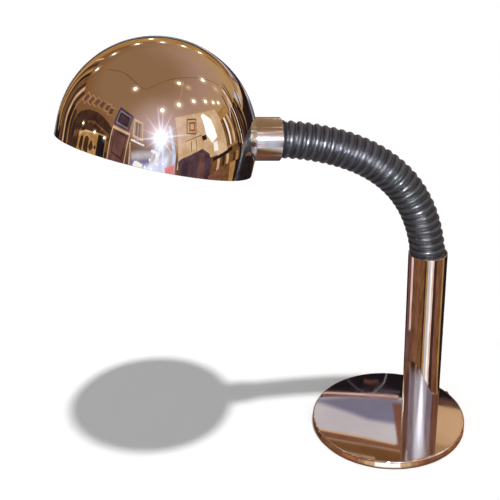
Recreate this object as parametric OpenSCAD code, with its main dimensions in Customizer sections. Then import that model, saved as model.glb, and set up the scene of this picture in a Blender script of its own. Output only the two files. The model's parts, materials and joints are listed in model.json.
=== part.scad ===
// Gooseneck desk lamp: a heavy round base, an upright tube, a bendable ribbed neck
// and a hemispherical shade with its lampholder and lamp.
// The base stands on z = 0 with its centre at the origin. The neck is bent in the
// plane y = stem_y, towards -X.

/* [Base] */
// Diameter of the base disc
base_d = 160; // [150:1:190]
// Height of the base's top face above the table
base_h = 9; // [9:0.5:14]
// Sheet thickness of the base cover
cover_t = 1; // [0.8:0.1:1.4]
// Radius round the base cover's upper edge
cover_edge_r = 1.6; // [1.5:0.1:2.5]
// Thickness of the pad under the base
pad_t = 1.5; // [1:0.1:2]
// Height of the base cover's lower edge above the table
cover_lift = 0.5; // [0.3:0.1:0.9]
// Distance from the pad's edge to the cover's wall
pad_inset = 1.2; // [0.5:0.1:4]
// Distance of the tube's axis from the centre of the base
stem_offset = 43.8; // [36:0.2:48]
// Angle between the neck's plane and the line from the base's centre to the tube
stem_turn = 19.6; // [0:0.2:45]

/* [Tube] */
// Outside diameter of the upright tube
stem_d = 39; // [37.5:0.5:42]
// Wall of the upright tube
stem_wall = 1; // [0.8:0.1:1.3]
// Height of the tube's open end above the table
stem_top = 190; // [150:1:240]
// Radius on the tube's upper rim
stem_rim_r = 0.4; // [0.2:0.05:0.4]
// Length of the plug in the foot of the tube
plug_l = 12; // [11:0.5:20]
// Thickness of the bush that carries the neck inside the tube
socket_l = 10; // [6:0.5:20]

/* [Neck] */
// Outside clearance of the neck's ribs in the tube's mouth
mouth_gap = 0.9; // [0.9:0.05:1.3]
// Distance from one rib of the neck to the next
rib_pitch = 7.835; // [7.7:0.005:8.2]
// Depth of the grooves between the ribs
rib_depth = 2; // [1.8:0.1:2.3]
// Radius of a rib's round back
rib_r = 2.6; // [2.4:0.1:2.7]
// Half of the open groove where two lengths of sleeve meet
joint_gap = 1.9; // [1.85:0.05:2]
// Smallest bend between two links
link_bend = 3.97; // [3:0.01:4.2]
// How much more the middle of the neck bends than its ends
bend_swell = 0.76; // [0.4:0.01:0.8]
// How much more the lower half of the neck bends than the upper half
bend_skew = 0.31; // [0:0.01:0.4]
// Extra bend of the first link, in the mouth of the tube
mouth_lean = 3.95; // [0:0.05:4.2]
// Distance of the first hinge point below the rim of the tube
mouth_depth = 4; // [3.5:0.1:4.5]
// Radius of the wire passage through the neck
wire_r = 3.5; // [3:0.1:4.5]

/* [Shade] */
// Outside diameter of the shade
shade_d = 180; // [170:1:210]
// Sheet thickness of the shade
shade_t = 0.8; // [0.8:0.1:1.2]
// Height of the straight skirt below the hemisphere
skirt_h = 13.7; // [10:0.1:24]
// Height angle of the coupler above the plane of the shade's rim
shade_lift = 11.6; // [9:0.1:16]
// Turn of the shade about the coupler's axis
shade_roll = 8.9; // [0:0.1:20]

/* [Coupler] */
// Step from the neck's ribs up to the coupler's surface
coupler_step = 2.4; // [2.2:0.1:4]
// Length of the coupler's barrel, measured to the shade's surface
coupler_l = 28.5; // [27.8:0.1:34]
// Reach of the coupler's mouth over the neck, past the last hinge point
mouth_back = 2.7; // [2.4:0.1:3]
// Depth of the chamfer at the coupler's mouth
chamfer_d = 3; // [2.5:0.1:3.2]
// Length of the chamfer at the coupler's mouth
chamfer_l = 4.5; // [3:0.1:6]
// Wall of the coupler's barrel
coupler_wall = 3.3; // [3:0.1:3.5]
// Thickness of the web across the coupler
web_t = 3; // [2.5:0.1:4]
// Length of the collar that passes through the shade
collar_l = 8; // [7:0.1:12]
// Width of the ring nut inside the shade
ring_w = 5; // [3:0.1:8]
// Height of the ring nut over the shade's inner surface
ring_h = 4.5; // [3:0.1:6]

/* [Lamp] */
// Diameter of the lamp's glass ball
bulb_d = 45; // [40:0.5:46]
// Length of the lamp from its contact to the end of the ball
bulb_l = 70; // [68:0.5:72]
// Wall of the lamp's glass
glass_t = 0.7; // [0.5:0.1:1]
// Outside diameter of the lamp's screw cap
cap_d = 26.2; // [25.8:0.1:26.2]
// Wall of the screw shells
shell_t = 0.4; // [0.3:0.05:0.4]

/* [Fits] */
// Radial clearance of a shaft or thread in its hole
fit = 0.05; // [0.03:0.01:0.08]
// Clearance between two nested ball faces
ball_gap = 0.2; // [0.15:0.01:0.25]
// Clearance between a loose part and its housing
loose = 0.3; // [0.2:0.05:0.3]

/* [Hidden] */
$fn = 96;
links = 14;
function two(i) = str(i < 10 ? "0" : "", i);
CONDUITS = [for (i = [1:links]) str("conduit_", two(i))];
SLEEVES = [for (i = [1:links]) str("sleeve_", two(i))];

// cuts run this far past the faces that they open
over = 1;

// M10 x 1 lamp thread and its nuts
m10_r = 5;
m10_nut_flats = 14;
m10_nut_r = m10_nut_flats / 2 / cos(30);
m10_nut_h = 2.8;

// base: the pad lies on the table, the weight on the pad, the cover over the weight
base_r = base_d / 2;
inner_r = base_r - cover_t;
weight_r = inner_r - loose;
weight_top = base_h - cover_t;
edge_ease = 0.2;
inner_edge_r = cover_edge_r - cover_t + edge_ease;
weight_edge_r = inner_edge_r + loose;
stem_x = stem_offset * cos(stem_turn);
stem_y = stem_offset * sin(stem_turn);
cord_r = 2.75;
bush_r = 3.3;
bush_flange_r = 3.9;
bush_flange_t = 1.2;
bush_l = 6;
bush_lift = 0.1;
bush_z = cover_lift + bush_flange_r + bush_lift;
channel_gap = 0.5;
channel_w = 2 * (bush_r + channel_gap);

// three screws from below hold the tube's plug, round the passage for the wires
passage_r = 5.5;
base_screws = 3;
base_screw_place = 12;
base_screw_r = 2;
base_head_r = 3.5;
base_head_h = 2.2;
head_gap = 0.6;
head_recess_r = base_head_r + head_gap;
head_z = pad_t + base_head_h + loose;
// steel left over the ends of the screws
plug_skin = 2;
base_screw_end = base_h + plug_l - plug_skin;

// tube and the bush that carries the neck
stem_r = stem_d / 2;
bore_r = stem_r - stem_wall;
neck_z = stem_top - mouth_depth;

// neck: each link is one hinge-to-hinge length of conduit in two ribs of sleeve
link_l = 2 * rib_pitch;
rib_top_r = bore_r - mouth_gap;
groove_r = rib_top_r - rib_depth;
tongue_r = groove_r - loose;
tongue_t = 1.6;
tongue_l = 5.2;
// room for the next link to lean inside a tongue, and wall of a cup
lean_gap = 1.9;
cup_wall = 1.9;
sleeve_fit = 0.1;
tongue_bore_r = tongue_r - tongue_t;
recess_r = tongue_r + ball_gap;
conduit_r = tongue_bore_r - lean_gap;
seat_r = conduit_r + sleeve_fit;
// the waist joins the ribs to the tongue, inside the coupler's mouth
waist_step = 0.7;
waist_r = tongue_r - waist_step;
rubber_end = link_l - joint_gap;
last_rubber_end = rubber_end - mouth_back - joint_gap;
function sleeve_top(i) = i < links ? rubber_end : last_rubber_end;
cup_r = conduit_r - cup_wall;
ball_r = cup_r - ball_gap;
lip_h = 2.6;
shoulder_z = 5.8;
ball_cut = 8;
turn_r = 0.7;
turn_out = 0.2;
link_turns = 3;
ferrule_l = 16;
shank_past = 1;
end_past = 0.5;
foot_low = 14;
foot_top = 2.6;

// coupler, measured along its own axis from the last hinge point
coupler_r = rib_top_r + coupler_step;
shade_r = shade_d / 2;
coupler_end = coupler_l - mouth_back;
shade_q = coupler_end + sqrt(pow(shade_r, 2) - pow(coupler_r, 2));
mouth_r = recess_r + sleeve_fit;
web_q = 8;
web_top = web_q + web_t;
barrel_r = coupler_r - coupler_wall;
collar_t = 1.3;
collar_r = barrel_r + collar_t;
collar_end = coupler_end + collar_l;

// lampholder and lamp, along the same axis
holder_gap = 0.2;
holder_r = barrel_r - holder_gap;
holder_floor_t = 4.2;
holder_floor = web_top + holder_floor_t;
holder_pocket_r = 9;
cap_r = cap_d / 2;
shell_r = cap_r + loose;
contact_h = 1.5;
tip_q = holder_floor + contact_h;
cap_l = 26;
tip_l = 4;
cap_low = tip_q + tip_l;
cap_top = tip_q + cap_l;
cap_proud = 1;
holder_end = cap_top - cap_proud;
bulb_r = bulb_d / 2;
ball_q = tip_q + bulb_l - bulb_r;
thread_h = 0.3;
neck_r = cap_r - thread_h - shell_t - fit;
glass_in = 5;
glass_low = cap_top - glass_in;
contact_w = 5;
contact_t = 0.6;
strip_in = 1;
pin_r = 1;
tip_ease = 0.5;
seal_t = 2;
screw_r = 1.5;
screw_head_r = 2.3;
screw_head_h = 1.6;
screw_place = (holder_pocket_r + shell_r) / 2;
web_skin = 1;
tap_l = 0.4;
screw_end_q = web_q + web_skin;
shell_turns = 5;
shell_gap = 0.4;
shell_short = 2;
thread_out = 0.1;
mount_r = 2.5;

// rest shape of the neck: the bend at hinge i, the lean of what hinge i carries,
// and where hinge i lies
function bend(i) =
    link_bend * (1 + bend_swell * pow(sin(180 * i / links), 2) + bend_skew * sin(360 * i / links))
    + (i == 0 ? mouth_lean : 0);
function lean(i) = i < 0 ? 0 : lean(i - 1) + bend(i);
function reach(i) = i == 0 ? 0 : reach(i - 1) + link_l * sin(lean(i - 1));
function rise(i) = i == 0 ? neck_z : rise(i - 1) + link_l * cos(lean(i - 1));

module at_stem() {
    translate([stem_x, stem_y, 0]) children();
}

// frame of hinge i: z runs along the neck, y is the axis that the neck is bent about
module at_hinge(i) {
    translate([stem_x - reach(i), stem_y, rise(i)]) rotate([0, -lean(i), 0]) children();
}

// frame of the shade: z is the dome's own axis, the origin is the centre of its sphere
module at_shade() {
    at_hinge(links) translate([0, 0, shade_q]) rotate([0, 0, shade_roll])
        rotate([0, 90 + shade_lift, 0]) children();
}

// frame of each base screw: three places round the tube's axis, clear of the channel
module at_base_screws() {
    for (k = [0:base_screws - 1])
        at_stem() rotate([0, 0, stem_turn + 360 * (k + 0.5) / base_screws])
            translate([base_screw_place, 0, 0]) children();
}

// a rectangle in a revolved profile, from radius r0 to r1 and from height z0 to z1
module band(r0, r1, z0, z1) {
    translate([r0, z0]) square([r1 - r0, z1 - z0]);
}

// the half of a circle that may be revolved, centred on the axis at height z
module ball(r, z) {
    intersection() {
        translate([0, z]) circle(r);
        band(0, r + over, z - r - over, z + r + over);
    }
}

module tube(r_out, r_in, h) {
    difference() {
        cylinder(r = r_out, h = h);
        translate([0, 0, -over]) cylinder(r = r_in, h = h + 2 * over);
    }
}

module hex_nut(h) {
    difference() {
        cylinder(r = m10_nut_r, h = h, $fn = 6);
        translate([0, 0, -over]) cylinder(r = m10_r + fit, h = h + 2 * over);
    }
}

// ---- base ----

// disc with a rounded upper edge, as a profile
module disc_profile(r, h, edge) {
    band(0, r - edge, 0, h);
    band(0, r, 0, h - edge);
    translate([r - edge, h - edge]) circle(edge);
}

// runs from the cover's rear edge to the tube's axis, below the tube
module cord_way(r, z) {
    rotate([0, 0, stem_turn]) translate([stem_offset, 0, z]) rotate([0, 90, 0])
        cylinder(r = r, h = base_r);
}

module base_cover() {
    color("silver") difference() {
        rotate_extrude() difference() {
            disc_profile(base_r, base_h, cover_edge_r);
            disc_profile(inner_r, weight_top, inner_edge_r);
            band(0, base_r + over, -over, cover_lift);
        }
        at_stem() cylinder(r = passage_r, h = base_h + over);
        at_base_screws() cylinder(r = base_screw_r + loose, h = base_h + over);
        cord_way(bush_r + fit, bush_z);
    }
}

// cast disc with a rounded upper edge, a recess for each screw head and a channel
// for the cord
module base_weight() {
    color("dimgray") difference() {
        translate([0, 0, pad_t]) rotate_extrude()
            disc_profile(weight_r, weight_top - pad_t, weight_edge_r);
        at_stem() cylinder(r = passage_r, h = base_h);
        at_base_screws() {
            cylinder(r = base_screw_r + loose, h = base_h);
            cylinder(r = head_recess_r, h = head_z);
        }
        rotate([0, 0, stem_turn]) translate([stem_offset, -channel_w / 2, 0])
            cube([base_r, channel_w, base_h]);
    }
}

// the pad, with a hollow where the bush presses on it
module base_pad() {
    color("darkgreen") difference() {
        cylinder(r = inner_r - pad_inset, h = pad_t);
        cord_way(bush_r + fit, bush_z);
    }
}

// screws from below, their heads sunk in the weight and their ends in the plug
module base_screws() {
    color("silver") at_base_screws() {
        translate([0, 0, head_z - base_head_h]) cylinder(r = base_head_r, h = base_head_h);
        translate([0, 0, head_z]) cylinder(r = base_screw_r, h = base_screw_end - head_z);
    }
}

// flanged bush in the cover's rear wall, where the cord comes in
module cord_bush() {
    color("black") rotate([0, 0, stem_turn]) translate([base_r - bush_l, 0, bush_z])
        rotate([0, 90, 0]) rotate_extrude() {
            band(cord_r, bush_r, 0, bush_l);
            band(cord_r, bush_flange_r, bush_l, bush_l + bush_flange_t);
        }
}

// ---- tube ----

module stem_plug() {
    color("gray") difference() {
        at_stem() translate([0, 0, base_h]) tube(bore_r - fit, passage_r, plug_l);
        at_base_screws() cylinder(r = base_screw_r + fit, h = base_h + plug_l + over);
    }
}

module stem_tube() {
    color("silver") at_stem() rotate_extrude() {
        band(bore_r, stem_r, base_h, stem_top - stem_rim_r);
        band(bore_r, stem_r - stem_rim_r, base_h, stem_top);
        translate([stem_r - stem_rim_r, stem_top - stem_rim_r]) circle(stem_rim_r);
    }
}

module neck_socket() {
    color("gray") at_stem() translate([0, 0, neck_z - ferrule_l - socket_l])
        tube(bore_r - fit, m10_r + fit, socket_l);
}

module ferrule_nut() {
    color("silver") at_stem() translate([0, 0, neck_z - ferrule_l - socket_l - m10_nut_h])
        hex_nut(m10_nut_h);
}

// ---- neck ----

// fixed end of the conduit: a cup in the tube's mouth, on a threaded shank
module neck_ferrule() {
    shank_l = ferrule_l + socket_l + m10_nut_h + shank_past;
    color("gray") at_stem() translate([0, 0, neck_z]) rotate_extrude() difference() {
        union() {
            band(0, conduit_r, -ferrule_l, lip_h);
            band(0, m10_r, -shank_l, -ferrule_l);
        }
        ball(cup_r, 0);
        band(0, wire_r, -shank_l - over, 0);
    }
}

// the ball that turns in the cup of the link before
module hinge_ball() {
    intersection() {
        ball(ball_r, 0);
        band(0, ball_r, -ball_cut, shoulder_z);
    }
}

// one length of the wound steel conduit: a ball below, a cup above
module conduit_link() {
    rotate_extrude() difference() {
        union() {
            hinge_ball();
            band(0, conduit_r, shoulder_z, link_l + lip_h);
        }
        ball(cup_r, link_l);
        band(0, wire_r, -ball_cut - over, link_l);
        for (k = [1:link_turns])
            translate([conduit_r + turn_out, shoulder_z + k * (link_l - shoulder_z) / (link_turns + 1)])
                circle(turn_r);
    }
}

// tongue of a sleeve, a ball-shaped skirt round the hinge point at height z
module tongue(z) {
    intersection() {
        ball(tongue_r, z);
        band(seat_r, tongue_r, z - foot_top, z + tongue_l);
    }
}

// bore of a sleeve: it sits on the conduit, and clears the next link past the hinge
module sleeve_bore(low, z) {
    band(0, seat_r, low, z + tongue_l + over);
    band(0, tongue_bore_r, z + lip_h, z + tongue_l + over);
}

// the ribbed rubber round one link: ribs up to the height top, a recess below them and
// a tongue above
module sleeve_link(top) {
    rotate_extrude() difference() {
        union() {
            band(seat_r, groove_r, joint_gap, top);
            intersection() {
                for (z = [rib_pitch / 2, link_l - rib_pitch / 2])
                    translate([rib_top_r - rib_r, z]) circle(rib_r);
                band(seat_r, rib_top_r, joint_gap, top);
            }
            band(seat_r, waist_r, joint_gap, link_l);
            tongue(link_l);
        }
        ball(recess_r, 0);
        sleeve_bore(-over, link_l);
    }
}

// the end of the sleeve that stays in the tube's mouth
module sleeve_foot() {
    color("#222226") at_stem() translate([0, 0, neck_z]) rotate_extrude() difference() {
        union() {
            band(seat_r, bore_r - sleeve_fit, -foot_low, -foot_top);
            tongue(0);
        }
        sleeve_bore(-foot_low - over, 0);
    }
}

// the ball, shank and screwed end that join the neck to the coupler
module neck_end() {
    color("gray") at_hinge(links) rotate_extrude() difference() {
        union() {
            hinge_ball();
            band(0, conduit_r, shoulder_z, web_q);
            band(0, m10_r, web_q, web_top + m10_nut_h + end_past);
        }
        band(0, wire_r, -ball_cut - over, web_top + m10_nut_h + over);
    }
}

// ---- coupler and shade ----

// the shade's outer surface, as it is cut out of a part on the coupler's axis
module shade_circle(r) {
    translate([0, shade_q]) circle(r, $fn = 4 * $fn);
}

// barrel with a chamfered mouth, a web that carries the neck and the lampholder,
// and a thin threaded collar that passes through the shade
module coupler() {
    color("#c9b8ae") at_hinge(links) difference() {
        rotate_extrude() difference() {
            union() {
                difference() {
                    polygon([
                        [0, -mouth_back],
                        [coupler_r - chamfer_d, -mouth_back],
                        [coupler_r, chamfer_l - mouth_back],
                        [coupler_r, shade_q],
                        [0, shade_q]
                    ]);
                    shade_circle(shade_r + fit);
                }
                band(0, collar_r, web_q, collar_end);
            }
            band(0, mouth_r, -mouth_back - over, web_q);
            band(0, m10_r + fit, 0, web_top);
            band(0, barrel_r, web_top, collar_end + over);
        }
        at_holder_screws() translate([0, 0, screw_end_q - tap_l])
            cylinder(r = screw_r + fit, h = web_t);
    }
}

module coupler_nut() {
    color("silver") at_hinge(links) translate([0, 0, web_top]) hex_nut(m10_nut_h);
}

module shade_dome() {
    color("silver") difference() {
        at_shade() rotate_extrude($fn = 2 * $fn) difference() {
            union() {
                ball(shade_r, 0);
                band(0, shade_r, -skirt_h, 0);
            }
            ball(shade_r - shade_t, 0);
            band(0, shade_r - shade_t, -skirt_h - over, 0);
            band(0, shade_r + over, -shade_r - over, -skirt_h);
        }
        at_hinge(links) cylinder(r = collar_r + fit, h = shade_q);
    }
}

// ring nut on the collar, its face turned to the shade's inner surface
module shade_ring() {
    color("silver") at_hinge(links) rotate_extrude() intersection() {
        band(collar_r + fit, collar_r + ring_w, coupler_end - over, coupler_end + ring_h);
        shade_circle(shade_r - shade_t - fit);
    }
}

// ---- lampholder ----

module at_holder_screws() {
    for (a = [0, 180])
        rotate([0, 0, a]) translate([screw_place, 0, 0]) children();
}

module holder_body() {
    color("ivory") at_hinge(links) difference() {
        rotate_extrude() difference() {
            band(0, holder_r, web_top, holder_end);
            band(0, holder_pocket_r, web_top - over, holder_floor + over);
            band(0, shell_r + shell_t + fit, holder_floor, holder_end + over);
        }
        at_holder_screws() translate([0, 0, web_top - over])
            cylinder(r = screw_r + fit, h = holder_floor);
    }
}

// threaded shell: a thin wall with a round thread that stands in from it
module screw_shell() {
    low = holder_floor + screw_head_h + shell_gap;
    high = holder_end - shell_short;
    step = (high - low) / shell_turns;
    color("gold") at_hinge(links) rotate_extrude() {
        band(shell_r, shell_r + shell_t, low, high);
        for (k = [0:shell_turns - 1])
            translate([shell_r + thread_out, low + (k + 0.5) * step]) circle(thread_h);
    }
}

// spring strip with a stud under the lamp's contact
module centre_contact() {
    color("gold") at_hinge(links) {
        translate([-contact_w / 2, strip_in - shell_r, holder_floor])
            cube([contact_w, shell_r - strip_in + contact_w / 2, contact_t]);
        translate([0, 0, holder_floor])
            cylinder(r = contact_w / 2, h = tip_q - holder_floor);
    }
}

module holder_screws() {
    color("silver") at_hinge(links) at_holder_screws() {
        translate([0, 0, screw_end_q]) cylinder(r = screw_r, h = holder_floor - screw_end_q);
        translate([0, 0, holder_floor]) cylinder(r = screw_head_r, h = screw_head_h);
    }
}

// ---- lamp ----

// screw cap: a thin wall with a round thread that stands out from it
module bulb_cap() {
    wall_r = cap_r - thread_h;
    bead_r = 0.8;
    bead_step = 3.3;
    beads = 5;
    color("goldenrod") at_hinge(links) rotate_extrude() difference() {
        union() {
            band(0, wall_r, cap_low, cap_top);
            for (k = [1:beads])
                translate([cap_r - bead_r, cap_low + k * bead_step]) circle(bead_r);
        }
        band(0, wall_r - shell_t, cap_low - over, cap_top + over);
    }
}

// black glass cone between the cap and the contact
module bulb_insulator() {
    color("#202020") at_hinge(links) rotate_extrude() difference() {
        polygon([
            [0, tip_q + contact_t],
            [contact_w, tip_q + contact_t],
            [neck_r, cap_low],
            [neck_r, cap_low + seal_t],
            [0, cap_low + seal_t]
        ]);
        band(0, pin_r, tip_q, cap_low + seal_t + over);
    }
}

module bulb_contact() {
    color("lightgray") at_hinge(links) rotate_extrude() {
        band(0, contact_w - tip_ease, tip_q, tip_q + contact_t);
        band(0, pin_r - fit, tip_q, cap_low + seal_t);
    }
}

// outside of the glass, drawn in by t: a straight neck, a cone and the ball
module glass_profile(t) {
    r = bulb_r - t;
    flare = 35;
    straight = 1;
    ball(r, ball_q);
    polygon([
        [0, glass_low + t],
        [neck_r - t, glass_low + t],
        [neck_r - t, cap_top + straight],
        [r * cos(flare), ball_q - r * sin(flare)],
        [0, ball_q]
    ]);
}

module bulb_glass() {
    color([0.95, 0.95, 0.95, 0.6]) at_hinge(links) rotate_extrude() difference() {
        glass_profile(0);
        glass_profile(glass_t);
    }
}

// glass foot with its rod, standing on the lower end of the glass
module bulb_mount() {
    low = glass_low + glass_t;
    foot_r = 6;
    foot_t = 2;
    post_l = 12;
    rod_r = 1;
    rod_short = 4;
    color([0.9, 0.95, 0.95]) at_hinge(links) rotate_extrude() {
        band(0, foot_r, low, low + foot_t);
        band(0, mount_r, low, low + post_l);
        band(0, rod_r, low, ball_q - rod_short);
    }
}

// coiled wire in an open ring round the end of the rod, on its two leads
module filament() {
    wire = 0.4;
    wire_fn = 24;
    hoop_r = 9;
    half_gap = 30;
    foot_up = 4;
    foot = cap_top + foot_up;
    color("gray") at_hinge(links) {
        translate([0, 0, ball_q]) rotate([0, 0, half_gap]) rotate_extrude(angle = 360 - 2 * half_gap)
            translate([hoop_r, 0]) circle(wire, $fn = wire_fn);
        for (a = [half_gap, -half_gap])
            rotate([0, 0, a]) {
                translate([hoop_r, 0, foot - wire])
                    cylinder(r = wire, h = ball_q + wire - foot, $fn = wire_fn);
                translate([mount_r, 0, foot]) rotate([0, 90, 0])
                    cylinder(r = wire, h = hoop_r - mount_r, $fn = wire_fn);
            }
    }
}

base_cover();
base_weight();
base_pad();
base_screws();
cord_bush();
stem_plug();
stem_tube();
neck_socket();
neck_ferrule();
ferrule_nut();
sleeve_foot();
for (i = [1:links])
    color("slategray") at_hinge(i - 1) conduit_link();
for (i = [1:links])
    color("#222") at_hinge(i - 1) sleeve_link(sleeve_top(i));
neck_end();
coupler();
coupler_nut();
shade_dome();
shade_ring();
holder_body();
screw_shell();
centre_contact();
holder_screws();
bulb_cap();
bulb_insulator();
bulb_contact();
bulb_glass();
bulb_mount();
filament();
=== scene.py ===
# %% [markdown]
# # A gooseneck desk lamp in chrome and black rubber
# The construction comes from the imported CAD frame: base, tube, neck links, coupler,
# shade and lamp, all at their real size and place. This script gives them their looks.
# Mirror metal shows every flat in a mesh, so the chromed shells are turned again here
# with many more rings, and the neck's ribbed sleeve is made as the one helix that it is.

# %% Load the frame
import json
import math

import bmesh
import bpy
import numpy as np
from mathutils import Matrix, Vector

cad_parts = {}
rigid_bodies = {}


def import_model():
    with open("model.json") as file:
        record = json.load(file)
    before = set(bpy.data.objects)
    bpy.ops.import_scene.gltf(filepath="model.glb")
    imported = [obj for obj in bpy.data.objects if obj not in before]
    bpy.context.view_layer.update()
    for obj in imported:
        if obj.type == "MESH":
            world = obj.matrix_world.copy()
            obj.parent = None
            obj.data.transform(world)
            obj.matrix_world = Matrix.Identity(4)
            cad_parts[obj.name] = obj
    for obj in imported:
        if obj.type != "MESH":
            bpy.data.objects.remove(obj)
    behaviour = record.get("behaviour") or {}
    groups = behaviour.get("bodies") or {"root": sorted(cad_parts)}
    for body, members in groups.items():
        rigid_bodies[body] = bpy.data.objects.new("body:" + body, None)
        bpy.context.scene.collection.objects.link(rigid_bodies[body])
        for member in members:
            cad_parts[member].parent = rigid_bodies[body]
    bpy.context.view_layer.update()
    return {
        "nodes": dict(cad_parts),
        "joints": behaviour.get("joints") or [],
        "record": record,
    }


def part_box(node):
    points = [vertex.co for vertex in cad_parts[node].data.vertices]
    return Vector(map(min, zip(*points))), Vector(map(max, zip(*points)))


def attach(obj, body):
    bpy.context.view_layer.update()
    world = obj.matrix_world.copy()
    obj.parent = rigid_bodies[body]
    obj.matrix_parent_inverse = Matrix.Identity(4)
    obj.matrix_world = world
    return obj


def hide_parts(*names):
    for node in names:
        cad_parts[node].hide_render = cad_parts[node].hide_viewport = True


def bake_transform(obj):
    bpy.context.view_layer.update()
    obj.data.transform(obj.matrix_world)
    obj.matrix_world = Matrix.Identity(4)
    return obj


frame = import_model()
nodes = frame["nodes"]

# %% [markdown]
# ## Where things are
# The joints lie on the neck's middle line, so their positions give the whole curve of
# the neck. The last stretch, from the last hinge into the coupler, points at the nut
# inside the coupler, because that nut is centred on the same axis.

# %% Lines and centres read from the frame
MM = 0.001
hinges = [Vector(joint["pos_m"]) for joint in frame["joints"]]
bodies = [frame["joints"][0]["parent"]] + [joint["child"] for joint in frame["joints"]]


def box_centre(node):
    low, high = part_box(node)
    return (low + high) / 2


STEM_RADIUS = 19.5 * MM
stem_foot = box_centre("stem_tube")
stem_foot.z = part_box("stem_tube")[0].z
stem_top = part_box("stem_tube")[1].z
coupler_axis = (box_centre("coupler_nut") - hinges[-1]).normalized()
link_length = (hinges[1] - hinges[0]).length
print("stem foot", stem_foot, "top", round(stem_top, 4), "link", round(link_length, 5))


def axis_frame(origin, direction):
    """Matrix with its z axis along direction and its y axis along the neck's bending axis."""
    z = direction.normalized()
    y = Vector((0, 1, 0))
    x = y.cross(z).normalized()
    return Matrix.Translation(origin) @ Matrix((x, y, z)).transposed().to_4x4()


coupler_frame = axis_frame(hinges[-1], coupler_axis)

# %% [markdown]
# ## The shade's own axis
# The shade is a half sphere with a short straight skirt. Its centre lies on the coupler's
# axis, but its own axis is turned: the coupler enters a little above the rim's plane, and
# the shade is rolled a few degrees on its collar, as a hand leaves it.

# %% Shade frame
SHADE_RADIUS = 89.98 * MM
SHADE_WALL = 0.8 * MM
SKIRT = 13.7 * MM
COUPLER_RADIUS = 20 * MM
COUPLER_END = 25.8 * MM
COLLAR_HOLE = 18.05 * MM
SHADE_LIFT = math.radians(11.6)
SHADE_ROLL = math.radians(8.9)
shade_reach = COUPLER_END + math.sqrt(SHADE_RADIUS ** 2 - COUPLER_RADIUS ** 2)
shade_frame = (
    coupler_frame
    @ Matrix.Translation((0, 0, shade_reach))
    @ Matrix.Rotation(SHADE_ROLL, 4, "Z")
    @ Matrix.Rotation(math.pi / 2 + SHADE_LIFT, 4, "Y")
)
shade_centre = shade_frame.translation
print("shade centre", shade_centre, "axis", shade_frame.col[2].xyz)

# %% [markdown]
# ## Shader maths as expressions
# A node tree is easier to read as a formula. `Wire` wraps one socket, so `1 - mask * 0.5`
# adds the Math nodes for itself. `node` adds any other node: its type, its settings, then
# the values or links of its sockets.


# %% A wire in a shader
class Wire:
    """One output socket of a node tree. A Wire with no socket stands for the tree alone."""

    def __init__(self, tree, socket=None):
        self.tree = tree
        self.socket = socket

    def node(self, kind, settings=None, sockets=None, out=0):
        """Adds a node, sets it up, feeds its sockets, and gives the wire of its output out."""
        made = self.tree.nodes.new(kind)
        for name, value in (settings or {}).items():
            if name == "stops":
                fill_ramp(made.color_ramp, value)
            else:
                setattr(made, name, value)
        for name, value in (sockets or {}).items():
            if isinstance(value, Wire):
                self.tree.links.new(value.socket, made.inputs[name])
            else:
                made.inputs[name].default_value = value
        return Wire(self.tree, made.outputs[out])

    def math(self, operation, *values):
        return self.node("ShaderNodeMath", {"operation": operation}, dict(enumerate(values)))

    def __add__(self, other):
        return self.math("ADD", self, other)

    __radd__ = __add__

    def __sub__(self, other):
        return self.math("SUBTRACT", self, other)

    def __rsub__(self, other):
        return self.math("SUBTRACT", other, self)

    def __mul__(self, other):
        return self.math("MULTIPLY", self, other)

    __rmul__ = __mul__

    def __truediv__(self, other):
        return self.math("DIVIDE", self, other)

    def __pow__(self, other):
        return self.math("POWER", self, other)

    def step(self, low, high):
        """0 below low, 1 above high, smooth between them."""
        sockets = {"Value": self, "From Min": low, "From Max": high}
        return self.node("ShaderNodeMapRange", {"interpolation_type": "SMOOTHSTEP"}, sockets)

    def mix(self, low, high):
        """The colour low where this mask is 0, and high where it is 1."""
        sockets = {0: self, 6: low, 7: high}
        return self.node("ShaderNodeMix", {"data_type": "RGBA"}, sockets, out=2)


def fill_ramp(ramp, stops):
    while len(ramp.elements) < len(stops):
        ramp.elements.new(0.5)
    for element, (place, colour) in zip(ramp.elements, stops):
        element.position = place
        element.color = colour


def linear(red, green, blue):
    """A colour written as a screen shows it, 0 to 255, in the linear light that Blender uses."""
    parts = [(c / 255 + 0.055) / 1.055 for c in (red, green, blue)]
    return tuple(p ** 2.4 for p in parts) + (1,)


def grey(value):
    return (value, value, value, 1)


# %% [markdown]
# ## One way to start a material
# Each finish begins with a Principled BSDF and the object's own coordinates, in metres.
# They stay fixed to the metal when the neck is bent. Nearly every piece sits at the origin,
# so its coordinates are the lamp's own, and the coupler sits on its axis, so that z runs
# along it. `noise` is the one texture that all finishes share.


# %% Material helpers
def new_finish(name):
    material = bpy.data.materials.new(name)
    material.use_nodes = True
    tree = material.node_tree
    wire = Wire(tree)
    shader = tree.nodes["Principled BSDF"]
    place = wire.node("ShaderNodeTexCoord", out="Object")
    return material, shader, place


def noise(place, scale, detail=2.0, stretch=None):
    """Cloudy noise between 0 and 1, scale features a metre."""
    if stretch:
        place = place.node("ShaderNodeMapping", None, {"Vector": place, "Scale": stretch})
    sockets = {"Vector": place, "Scale": scale, "Detail": detail}
    return place.node("ShaderNodeTexNoise", None, sockets)


def specks(place, scale, size):
    """1 in small round dots, of which there are about scale a metre each way."""
    sockets = {"Vector": place, "Scale": scale}
    distance = place.node("ShaderNodeTexVoronoi", None, sockets, out="Distance")
    return 1 - distance.step(size * 0.6, size)


def set_sockets(shader, **sockets):
    """Links a Wire to the named socket, or sets a plain value on it."""
    for name, value in sockets.items():
        socket = shader.inputs[name.replace("_", " ")]
        if isinstance(value, Wire):
            value.tree.links.new(value.socket, socket)
        else:
            socket.default_value = value


def bump(height, distance):
    """A normal that tilts as if the surface rose by distance metres where height is 1."""
    return height.node("ShaderNodeBump", None, {"Height": height, "Distance": distance})


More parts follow.
